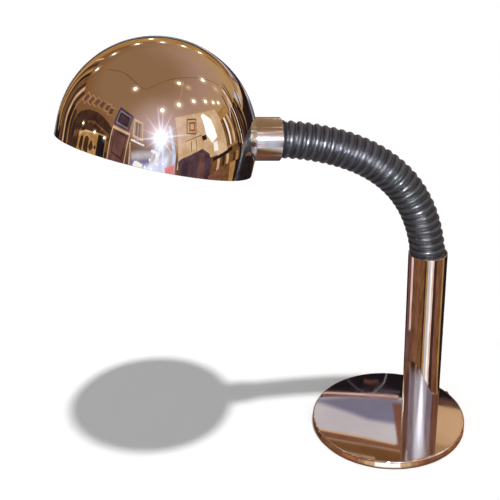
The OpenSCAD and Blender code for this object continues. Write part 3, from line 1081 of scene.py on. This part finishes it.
def ribbon(tone, points, width, strength=1.0, soft=FAR_SOFT / 2, **place):
    """A card that follows a line of corners, width degrees wide."""
    line = path(points, 33)
    side = np.cross(line, np.gradient(line, axis=0))
    side *= math.tan(math.radians(width / 2)) / np.linalg.norm(side, axis=1, keepdims=True)
    hang([line - side, line + side], paint(tone, strength, soft), **place)


# %% Pictures and rings
def picture(frame_tone, inside_tone, corners, border=0.2):
    """A framed panel. Corners run clockwise from the upper west one."""
    middle = np.mean(corners, axis=0)
    for tone, size in ((frame_tone, 1.0), (inside_tone, 1.0 - border)):
        a, b, c, d = [tuple(middle + (np.array(corner) - middle) * size) for corner in corners]
        sheet(tone, [d, c], [a, b])


# the direction that grazes the shade's outline, in the middle of what lies behind the lamp
GRAZE = (8, -25)


def ring(tone, inner, outer, start, end, strength=1.0):
    """Part of a ring round the direction GRAZE, between two turns counted from its top."""
    ahead = Vector(direction(*GRAZE))
    right = ahead.cross(Vector((0, 0, 1))).normalized()
    up = right.cross(ahead)
    turns = np.radians(np.linspace(start, end, 33))
    rows = []
    for off in np.radians(np.linspace(inner, outer, 5)):
        sides = [up * math.cos(t) + right * math.sin(t) for t in turns]
        rows.append([np.array(ahead * math.cos(off) + side * math.sin(off)) for side in sides])
    hang(rows, paint(tone, strength, FAR_SOFT * 2))


# %% Shell of the room: floor, walls and vault
LEFT_STOPS = [
    (0.0, "umber"), (0.34, "brown"), (0.44, "umber"), (0.58, "wall"), (0.74, "brown"),
    (0.86, "ceiling"), (1.0, "ceiling"),
]
RIGHT_STOPS = [
    (0.0, "umber"), (0.34, "brown"), (0.44, "umber"), (0.54, "gold"), (0.70, "plaster"),
    (0.86, "blush"), (1.0, "ceiling"),
]
SHELL_RADIUS = ROOM_RADIUS + 0.1
wire, shell = stage_material("room_shell")
place = wire.node("ShaderNodeTexCoord", out="Object")
right, back, up = [
    wire.node("ShaderNodeSeparateXYZ", None, {"Vector": place}, out=k) / ROOM_RADIUS
    for k in range(3)
]
cloud = noise(place, 0.5, detail=4) - 0.5
height = (up + cloud * 0.16) * 0.5 + 0.5
tints = []
for stops in (LEFT_STOPS, RIGHT_STOPS):
    colours = {"stops": [(at, linear(*TONES[tone][0])) for at, tone in stops]}
    tints.append(wire.node("ShaderNodeValToRGB", colours, {"Fac": height}))
to_right = (right + cloud * 0.3).step(-0.15, 0.55)
to_front = (0 - back + cloud * 0.2).step(0.25, 0.95) * up.step(0.2, 0.5)
room_colour = (to_front * 0.8).mix(to_right.mix(*tints), linear(*TONES["blush"][0]))
show(glow(wire, room_colour, CHROME_LOSS))
bm = bmesh.new()
bmesh.ops.create_uvsphere(bm, u_segments=48, v_segments=24, radius=SHELL_RADIUS)
room_mesh = bpy.data.meshes.new("room_shell")
bm.to_mesh(room_mesh)
bm.free()
room = mirror_only(keep_as_stage(room_mesh, "room_shell", shell))
room.location = shade_centre
print("room", 2 * SHELL_RADIUS, "m across")

# %% [markdown]
# ## What hangs in the room
# A half sphere squeezes the whole room into its outline. What stands behind it turns into
# thin rings at the rim, the side walls are narrow bands, and the wall round the camera
# fills the middle. The cards are hung in that order, so later ones cover earlier ones.

# %% Behind the lamp: what the shade's outline grazes
ring("gold", 36, 52, -75, 50)
ring("umber", 30, 37, -95, 100)
ring("steel", 19, 31, -120, 110)
ring("rose", 21, 26, -64, -34, 1.1)
ring("rose", 22, 28, 8, 52, 1.0)
ring("rose", 24, 30, 66, 84, 1.1)
ring("dark", 17.5, 21, -120, 110)
print("cards behind", len(cards))

# %% Left wall: drapes
DRAPES = [
    (-60, "gold", 1.6), (-55, "dark", 2.4), (-50, "cream", 3), (-45, "umber", 3.4),
    (-40, "brown", 3), (-35, "dark", 3), (-31, "gold", 3), (-26, "umber", 3),
    (-21, "cream", 1.4),
]
panel("dark", -66, -24, -24, -6)
panel("umber", -66, -52, -6, 16)
for azimuth, tone, width in DRAPES:
    fold = [(azimuth - 3, -8), (azimuth, 6), (azimuth + 1, 16), (azimuth - 2, 27)]
    ribbon(tone, fold, width)

# %% Left wall: alcove, its cabinet and the small pictures over it
ALCOVE = [
    (-66, -7), (-66.5, 5), (-67.5, 14), (-71, 20), (-83, 28), (-100, 32), (-115, 29),
    (-124, 24),
]
SMALL_PICTURES = ((-66, 33), (-75.5, 37), (-85, 40.5), (-95, 43), (-105, 44), (-113, 43))
sheet("umber", [(azimuth, -30) for azimuth, _ in ALCOVE], ALCOVE)
sheet("brown", [(-72, 2), (-100, 2), (-122, 2)], [(-72, 12), (-98, 24), (-122, 18)])
sheet("gold", [(-80, -12), (-108, -12)], [(-80, 9), (-108, 16)], 1.1)
panel("umber", -97, -93, -6, 9)
panel("umber", -88, -86, -8, 7)
ribbon("cream", [(-81, 7), (-90, 12), (-108, 15)], 1.6)
picture("gold", "dark", [(-107, 16), (-119, 16), (-119, -3), (-107, -1)], 0.15)
for azimuth, top in SMALL_PICTURES:
    upper = [(azimuth - 5, top + 0.8), (azimuth + 5, top - 0.8)]
    lower = [(azimuth + 4.4, top - 9), (azimuth - 4.4, top - 8)]
    picture("gold", "wine", upper + lower, 0.28)

# %% Left wall: large pictures, a door and a window with bars
picture("plum", "slate", [(-148, 41), (-123, 47), (-123, 29), (-145, 24)], 0.22)
picture("umber", "plum", [(-144, 38.5), (-127, 42.5), (-127, 32), (-143, 28)], 0.3)
picture("cream", "wine", [(-147, 23), (-123.5, 28), (-121, -18), (-139, -20)], 0.1)
picture("umber", "wine", [(-143, 20), (-128, 24), (-126, 6), (-139, 2)], 0.12)
picture("cream", "plum", [(-162, 35), (-149, 39.5), (-149.5, 20), (-162, 15)], 0.25)
for azimuth in (-159, -155.5, -152):
    panel("cream", azimuth - 0.6, azimuth + 0.6, 17, 37)
ribbon("white", [(-148, 17), (-163, 11)], 2.0)
ribbon("cream", [(-147, 14), (-148, -12)], 1.6)
print("cards with the left wall", len(cards))

# %% Right wall: plaster, a bright window, two small pictures and a dark armchair
sheet(
    "cream",
    [(101, -12), (118, -12), (135, -12), (163, -12)],
    [(101, 26), (118, 31), (135, 35), (157, 37)],
)
sheet("white", [(113, 4), (121, 1), (126, 11)], [(113, 22), (119, 30), (123, 29)], 1.3)
panel("white", 114, 120, -8, 1)
picture("wine", "tan", [(130, 29), (142.5, 32.5), (149, 17.5), (137.5, 14)], 0.16)
picture("copper", "tan", [(133, 26.5), (141, 28.5), (145, 19.5), (138, 17.5)], 0.4)
ribbon("umber", [(152, 10.5), (132, 12)], 0.9)
ribbon("umber", [(145, 9.5), (147, -1)], 0.9)
ribbon("umber", [(139, 10), (141, -2)], 0.7)
panel("dark", 126, 132, 6, 11)
sheet("plum", [(118, -36), (140, -36), (161, -36)], [(126, -8), (134, -1), (162, -7)])
sheet("wine", [(128, -36), (140, -36)], [(133, -6), (139, -4)])

# %% Right wall: doorway, shelves and the floor before them
DOORWAY = [
    (86, "wine"), (89, "cream"), (92.5, "brown"), (95.5, "white"), (98.5, "umber"),
    (101, "brown"),
]
POSTS = [
    (66, "gold", 1.6), (71, "brown", 2), (75, "white", 1.2), (79, "gold", 2.4),
    (83, "umber", 1.6),
]
RUG = [
    (68, "umber"), (73, "gold"), (79, "dark"), (85, "gold"), (90, "umber"), (96, "brown"),
    (101, "tan"), (107, "umber"), (114, "cream"),
]
panel("gold", 84, 101, -10, 22)
for azimuth, tone in DOORWAY:
    panel(tone, azimuth - 1.2, azimuth + 1.2, -8, 15)
panel("umber", 62, 84, -14, 14)
for azimuth, tone, width in POSTS:
    post = [(azimuth - 6, 26), (azimuth, 14), (azimuth + 2, 0), (azimuth, -13)]
    ribbon(tone, post, width)
ribbon("rose", [(68, 24), (86, 10)], 1.2)
ribbon("dark", [(60, 24), (72, 12), (76, -6)], 1.4)
panel("dark", 62, 68, -14, 9)
panel("lilac", 50, 60, 5, 13)
ribbon("dark", [(51, 12), (60, 5)], 2.2)
panel("dark", 40, 60, -10, 3)
panel("brown", 66, 124, -40, -13)
for azimuth, tone in RUG:
    panel(tone, azimuth - 2, azimuth + 2, -38, -15 + azimuth % 5)
ribbon("dark", [(122, -15), (111, -13.5), (94, -11)], 3.4)
print("cards with the right wall", len(cards))

# %% Vault: its two long ridges and a lit moulding
WEST_RIDGE = [(-43, 46), (-47, 52), (-57, 64), (-83, 72), (-117, 74), (-146, 72), (-161, 73)]
EAST_RIDGE = [
    (-161, 73), (169, 77), (121, 76), (94, 68), (82, 58), (73, 46), (69, 37), (67, 29),
]
MOULDING = [(161, 38), (152.5, 44.5), (142, 50), (122, 58), (93.5, 62)]
ribbon("brown", WEST_RIDGE, 1.0)
ribbon("brown", EAST_RIDGE, 0.9)
ribbon("blush", MOULDING, 1.4, 1.4, soft=0.06)

# %% Round the camera: cool daylight on glass, paper and a table
sheet(
    "lilac",
    [(163, -36), (180, -36), (198, -36), (213, -36)],
    [(163, 6), (180, 6), (198, 8), (213, 8)],
    soft=0.3,
)
sheet("violet", [(187, -36), (213, -36)], [(190, 2), (213, 4)], soft=0.2)
sheet("ice", [(170, -4), (190, -4)], [(170, 24), (190, 22)], soft=0.6)
sheet("ice", [(174, -35), (208, -35)], [(170, 1), (206, -1)], 1.25, soft=0.35)
ribbon("white", [(199, -4), (206, -1), (209, -9)], 5)
ribbon("white", [(190, 6), (183, 2), (186, -4)], 3)
ribbon("white", [(186, -14), (180, -10), (184, -20)], 2)
ribbon("ice", [(166, 30), (166, 0), (168, -24)], 3.5)
ribbon("slate", [(180, -14), (190, -9), (200, -16)], 3)
ribbon("plum", [(178, -22), (190, -24), (200, -20)], 2.5)
print("cards with vault and front", len(cards))

# %% [markdown]
# ## Small lamps and glare
# The vault is dotted with small warm spotlights, and a bright light stands next to the
# camera. A spot is a card that is opaque in its middle and fades to nothing, so that it
# has the soft halo of a real one. Long thin ones across the bright light make its star,
# and tiny ones below it are the sparkle of things on the table.


# %% Spots with a halo
def halo(colour, core, spread, strength, rim=0.12):
    """An opaque bright middle, and a rim that thins out towards the card's edge."""
    wire, material = stage_material(f"halo_{len(paints):02d}")
    paints[material.name] = material
    away = vector_maths("LENGTH", wire.node("ShaderNodeTexCoord", out="Object"))
    middle = 1 - away.step(core * 0.6, core)
    fade = wire.math("MAXIMUM", 1 - away, 0.0) ** spread
    mask = wire.math("MAXIMUM", middle, fade * rim)
    show(see_through(mask, glow(wire, linear(*colour), strength)))
    return material


def halo_card(material, place):
    """A square with half sides of 1, which the matrix place sizes, turns and puts in place."""
    mesh = bpy.data.meshes.new(f"spot_{len(cards):03d}")
    mesh.from_pydata(SQUARE, [], [(0, 1, 2, 3)])
    made = mirror_only(keep_as_stage(mesh, mesh.name, material))
    made.matrix_world = place
    cards.append(made)


def spot(material, azimuth, height, across, up=None, tilt=0.0):
    """A halo card, across and up its half sizes in degrees, facing the shade."""
    ray = Vector(direction(azimuth, height))
    distance = ROOM_RADIUS - CARD_STEP * len(cards)
    tilted = Matrix.Rotation(math.radians(tilt), 3, "Z").to_quaternion()
    turn = (-ray).to_track_quat("Z", "Y") @ tilted
    size = [distance * math.tan(math.radians(angle)) for angle in (across, up or across)]
    halo_card(material, Matrix.LocRotScale(shade_centre + ray * distance, turn, (*size, 1.0)))


# %% Spotlights in the vault
SPOTS = [
    (-19, 32, 5), (-36, 32, 5), (-4, 30, 5), (3, 18, 4), (9, 29, 4.5), (19, 26, 4.5),
    (26, 22, 4), (-126, 69, 7), (107, 65, 6.5), (75, 45, 6.5), (171, 47.5, 8), (143, 48.5, 8),
    (119, 44, 6.5), (104.5, 36.5, 6), (96, 30.5, 5), (90, 26.5, 4.5),
    (-83, 15.5, 4), (-102.5, 15, 4.5), (-116.5, 13.5, 4.5),
]
faint_spot = halo((255, 214, 160), 0.10, 1.6, 1.6, 0.35)
spot(faint_spot, 105, 56, 5)
spot(faint_spot, 76, 32.5, 5)
front_glow = halo((226, 198, 196), 0.001, 2.0, 1.25, 0.8)
spot(front_glow, 178, 26, 42)
warm_spot = halo((255, 238, 200), 0.26, 2.5, 7.0)
for azimuth, height, size in SPOTS:
    spot(warm_spot, azimuth, height, size)

# %% The bright light, its star and the sparkle below it
LIGHT_AT = (178, 19)
GLARES = (
    (1.6, 40, 0), (1.3, 34, 32), (1.3, 34, -28), (1.6, 40, 90), (1.2, 26, 62),
    (1.2, 26, -60), (1.0, 44, 12),
)
GLINTS = 34
GLINTS_AT = (192, -13)
GLINTS_REACH = (22.1, 17)
GOLDEN_ANGLE = math.radians(137.5)
front_light = halo((232, 238, 255), 0.30, 2.2, 16.0, 0.10)
spot(front_light, *LIGHT_AT, 20)
glint = halo((255, 255, 255), 0.35, 2.0, 2.6, 0.3)
for number in range(GLINTS):
    share, turn = math.sqrt((number + 0.5) / GLINTS), GOLDEN_ANGLE * number
    azimuth = GLINTS_AT[0] + GLINTS_REACH[0] * share * math.cos(turn)
    height = GLINTS_AT[1] + GLINTS_REACH[1] * share * math.sin(turn)
    spot(glint, azimuth, height, 0.5 + 0.35 * (number % 4))
glare = halo((214, 222, 255), 0.02, 1.8, 2.2, 0.8)
for across, up, tilt in GLARES:
    spot(glare, *LIGHT_AT, across, up, tilt)
print("cards in the room", len(cards))

# %% [markdown]
# ## What stands close by
# The tube sees the table round the base, the base's edge sees the table right beside it,
# and the base's top sees what stands just behind it. These lie close to the lamp, because a
# far card would also show in the shade. The table is a fan of strips round the tube and a
# low collar round the base. The things behind are bands and lines on a small board. Two
# more cards hang in the air: a red spot for the shade, and a canopy over the base, which
# is what the tube sees mirrored in the base's top.

# %% Table round the base
FAN_HEIGHT, FAN_STEP = 4.06 * MM, 0.02 * MM
FAN_NEAR, FAN_FAR = 86 * MM, 600 * MM
FAN_SOFT, FAN_CLOUDS = 5 * MM, 14
FAN_OVERLAP = 2
FAN = [
    (57, "dark"), (92, "gold"), (106, "brown"), (124, "rust"), (146, "umber"),
    (163, "rose"), (172, "white"), (182, "lilac"), (196, "gold"), (205, "umber"),
    (214, "brown"), (240, "rust"), (258, "brown"), (276, "wine"), (334, "dark"), (417, None),
]


def reach_to_circle(start, ray, radius):
    """Distance from start along ray to a circle round the base's middle."""
    along = start.x * ray.x + start.y * ray.y
    return math.sqrt(along ** 2 + radius ** 2 - start.x ** 2 - start.y ** 2) - along


def floor_strip(number, tone, west, east, near, soft):
    """Part of the table between two azimuths, from a circle round the base outwards."""
    rays = [Vector((math.sin(a), math.cos(a), 0)) for a in np.radians(np.linspace(west, east, 13))]
    base = Vector((stem_foot.x, stem_foot.y, FAN_HEIGHT + FAN_STEP * number))
    rows = []
    for share in (0, 0.05, 0.2, 0.5, 1):
        starts = [(ray, reach_to_circle(stem_foot, ray, near)) for ray in rays]
        rows.append([base + ray * (start + (FAN_FAR - start) * share) for ray, start in starts])
    card(rows, paint(tone, 1.0, soft, FAN_CLOUDS))


strips = [
    (tone, west - FAN_OVERLAP, east + FAN_OVERLAP, FAN_NEAR, FAN_SOFT)
    for (west, tone), (east, _) in zip(FAN, FAN[1:])
]
strips.append(("rose", 284, 303, 170 * MM, 12 * MM))
for number, strip in enumerate(strips):
    floor_strip(number, *strip)
print("strips of the table", len(strips))

# %% What the base's edge sees: a low collar hidden from all that stands above
COLLAR_LOW, COLLAR_HIGH = (80.6 * MM, 0.7 * MM), (84.5 * MM, 5.8 * MM)
COLLAR_STEP = 0.03 * MM
COLLAR_SOFT, COLLAR_CLOUDS = 2.5 * MM, 60
COLLAR = [
    (356, 424, "dark"), (56, 114, "wine"), (106, 154, "copper"), (146, 188, "rust"),
    (206, 240, "copper"), (232, 266, "rust"), (258, 294, "umber"), (286, 364, "dark"),
    (168, 226, "copper"), (174, 220, "blush"), (179, 215, "tan"), (183, 211, "cream"),
    (187, 207, "white"),
]


def round_about(centre, reach, height, turns):
    """Points round a centre, their turns counted from straight behind."""
    x, y, _ = centre
    return [(x + math.sin(a) * reach, y + math.cos(a) * reach, height) for a in turns]


base_centre = Vector((0, 0, 0))
for number, (west, east, tone) in enumerate(COLLAR):
    nearer = COLLAR_STEP * number
    turns = np.radians(np.linspace(west, east, 17))
    rows = [round_about(base_centre, r - nearer, z, turns) for r, z in (COLLAR_LOW, COLLAR_HIGH)]
    strength = 1.4 if tone == "white" else 1.0
    card(rows, paint(tone, strength, COLLAR_SOFT, COLLAR_CLOUDS))
print("sectors of the collar", len(COLLAR))

# %% Red spot in front of the shade
# a far card would show in the coupler as well, so this one hangs where only the shade meets it
panel("coral", 166, 177, -17, -5, soft=18 * MM, distance=0.5)

# %% Canopy over the base
# seen only by light that met two mirrors, tube and base top, so that nothing else shows it
CANOPY_HEIGHT, CANOPY_STEP = 120 * MM, 0.3 * MM
CANOPY_REACH = (30 * MM, 300 * MM)
CANOPY = [
    (40, 150, "rust"), (120, 180, "haze"), (262, 330, "wine"), (225, 285, "haze"),
    (160, 246, "lilac"),
]


def twice_mirrored(material):
    """Clears the material for all rays but those that come from a second mirror."""
    tree = material.node_tree
    end = tree.nodes["Material Output"].inputs["Surface"]
    seen = Wire(tree, end.links[0].from_socket)
    second = seen.node("ShaderNodeLightPath", out="Glossy Depth").step(1.2, 1.8)
    tree.links.new(see_through(second, seen).socket, end)
    return material


canopy_paints = {}
for number, (west, east, tone) in enumerate(CANOPY):
    if tone not in canopy_paints:
        canopy_paints[tone] = twice_mirrored(paint(tone, 0.9, 50 * MM, 9))
    height = CANOPY_HEIGHT - CANOPY_STEP * number
    turns = np.radians(np.linspace(east, west, 17))
    rows = [round_about(stem_foot, r, height, turns) for r in np.linspace(*CANOPY_REACH, 5)]
    card(rows, canopy_paints[tone])

# %% Flare under the canopy
FLARE_TURN, FLARE_REACH = math.radians(197), 130 * MM
FLARE_SIZE = (45 * MM, 120 * MM, 1.0)
flare_at, = round_about(stem_foot, FLARE_REACH, CANOPY_HEIGHT - 40 * MM, [FLARE_TURN])
flare_spin = Matrix.Rotation(-FLARE_TURN, 3, "Z").to_quaternion()
flare = twice_mirrored(halo((238, 236, 255), 0.36, 1.3, 4.0, 0.6))
halo_card(flare, Matrix.LocRotScale(Vector(flare_at), flare_spin, FLARE_SIZE))
print("sectors of the canopy", len(CANOPY), "and a flare")

# %% Bands of the board behind the base
BOARD, BOARD_STEP = 0.70, 0.0004
board = {"eye": np.array((0, 0, COVER_TOP))}
SLATE_TOP = [(-2, 33.6), (5, 34.5), (10.5, 36.2), (14, 37.2), (24, 38)]
LILAC_TOP = [(-2, 37.4), (5, 38.1), (12, 39.3), (20, 40.3), (24, 40.8)]
COPPER_TOP = [(-2, 38.6), (6, 39.3), (14, 40.5), (21, 41.2), (24, 41.4)]
BANDS = [
    ("dark", [(-4, 24), (20, 24), (40, 24)], [(-4, 33.1), (20, 33.4), (40, 33.6)], 2),
    ("lilac", [(-4, 33), (12, 33.1), (24, 33.3)], LILAC_TOP, 2),
    ("slate", [(-2, 32.8), (12, 32.9), (24, 33.2)], SLATE_TOP, 12),
    ("rust", LILAC_TOP, COPPER_TOP, 3),
    ("brown", COPPER_TOP, [(-2, 46), (11, 46), (24, 46)], 5),
    ("tan", [(22, 33.5), (30, 33.6), (40, 33.8)], [(22, 39.5), (30, 40), (40, 41)], 8),
    ("plaster", [(22, 38.5), (30, 39), (40, 40)], [(22, 46), (30, 46), (40, 46)], 14),
    ("rust", [(18.6, 34), (22.5, 34)], [(20, 40.8), (24, 41.5)], 6),
]
for number, (tone, low, high, soft) in enumerate(BANDS):
    sheet(tone, low, high, soft=soft * MM, distance=BOARD - BOARD_STEP * number, **board)

# %% Lines on the board
LINES_DISTANCE = BOARD - 10 * MM
LINES = [
    ("rust", [(6, 33.1), (12, 33.3), (20, 33.6)], 0.5, 1.2),
    ("rose", [(-2, 32.5), (7, 32.7), (12, 33.0), (20, 33.2)], 0.45, 1.3),
    ("wine", [(27, 33.0), (30, 33.3), (36, 33.8)], 1.0, 1.0),
    ("lilac", [(17.8, 29), (17.7, 29.9), (17.3, 31.2), (16.3, 32.2), (15.2, 32.9)], 0.30, 0.8),
    ("slate", [(10.6, 30), (11, 31), (12.3, 32.1), (13.8, 32.8)], 0.3, 0.8),
    ("wine", [(13.6, 31), (15.0, 31.2), (16.4, 31)], 0.8, 1.0),
    ("slate", [(16.7, 32.4), (20.3, 32.5)], 0.3, 1.0),
    ("cream", [(2, 37.8), (5.8, 38.2), (12.2, 39.3), (19.9, 40.3)], 0.5, 1.1),
    ("tan", [(0, 40.6), (8, 41.4), (16, 42.6)], 0.5, 0.9),
    ("tan", [(6, 43.5), (14, 44.2), (22, 44.6)], 0.7, 0.9),
]
for number, (tone, points, width, strength) in enumerate(LINES):
    distance = LINES_DISTANCE - BOARD_STEP * number
    ribbon(tone, points, width, strength, soft=2.5 * MM, distance=distance, **board)
print("cards in all", len(cards))

# %% [markdown]
# ## Camera and light
# The camera stands above the table and looks down by about 25 degrees, with a long lens. A
# sun high in front casts the soft shadow behind the base, and the white world fills it in.
# Parallel light keeps the shadow's shape, and the sun's angle sets how soft its edge is.

# %% Camera
FRAME_PIXELS = 500
FOCAL_PIXELS = 891.0
CAMERA_AT = (-0.24758, -0.75613, 0.58455)
CAMERA_YAW, CAMERA_DOWN, CAMERA_ROLL = -8.01, 25.52, -2.48
camera_data = bpy.data.cameras.new("camera")
camera_data.sensor_width = 36.0
camera_data.lens = FOCAL_PIXELS * camera_data.sensor_width / FRAME_PIXELS
camera = bpy.data.objects.new("camera", camera_data)
bpy.context.scene.collection.objects.link(camera)
bpy.context.scene.camera = camera
camera.matrix_world = (
    Matrix.Translation(CAMERA_AT)
    @ Matrix.Rotation(math.radians(CAMERA_YAW), 4, "Z")
    @ Matrix.Rotation(math.radians(90 - CAMERA_DOWN), 4, "X")
    @ Matrix.Rotation(math.radians(CAMERA_ROLL), 4, "Z")
)
print("lens", round(camera_data.lens, 2), "mm")

# %% Sun
SUN_TO = Vector((-0.090, 0.225, -1.0))
SUN_STRENGTH = 2.2
SUN_ANGLE = math.radians(3)
sun_data = bpy.data.lights.new("key", "SUN")
sun_data.energy = SUN_STRENGTH
sun_data.angle = SUN_ANGLE
sun = bpy.data.objects.new("key", sun_data)
sun.rotation_euler = SUN_TO.to_track_quat("-Z", "Y").to_euler()
sun.visible_glossy = False
bpy.context.scene.collection.objects.link(sun)
print("sun", SUN_STRENGTH, "towards", SUN_TO)

# %% Flash beside the camera
# only glossy surfaces answer to it, so the rubber gets its sheen and no second shadow falls
FLASH_WATTS = 170.0
FLASH_DISTANCE = 0.80
FLASH_RADIUS = 25 * MM
flash_data = bpy.data.lights.new("flash", "POINT")
flash_data.energy = FLASH_WATTS
flash_data.color = (0.86, 0.91, 1.0)
flash_data.shadow_soft_size = FLASH_RADIUS
flash = bpy.data.objects.new("flash", flash_data)
flash.location = shade_centre + Vector(direction(*LIGHT_AT)) * FLASH_DISTANCE
flash.visible_diffuse = False
bpy.context.scene.collection.objects.link(flash)
print("flash", FLASH_WATTS, "W at", flash.location)

# %% Colour
bpy.context.scene.view_settings.view_transform = "Standard"
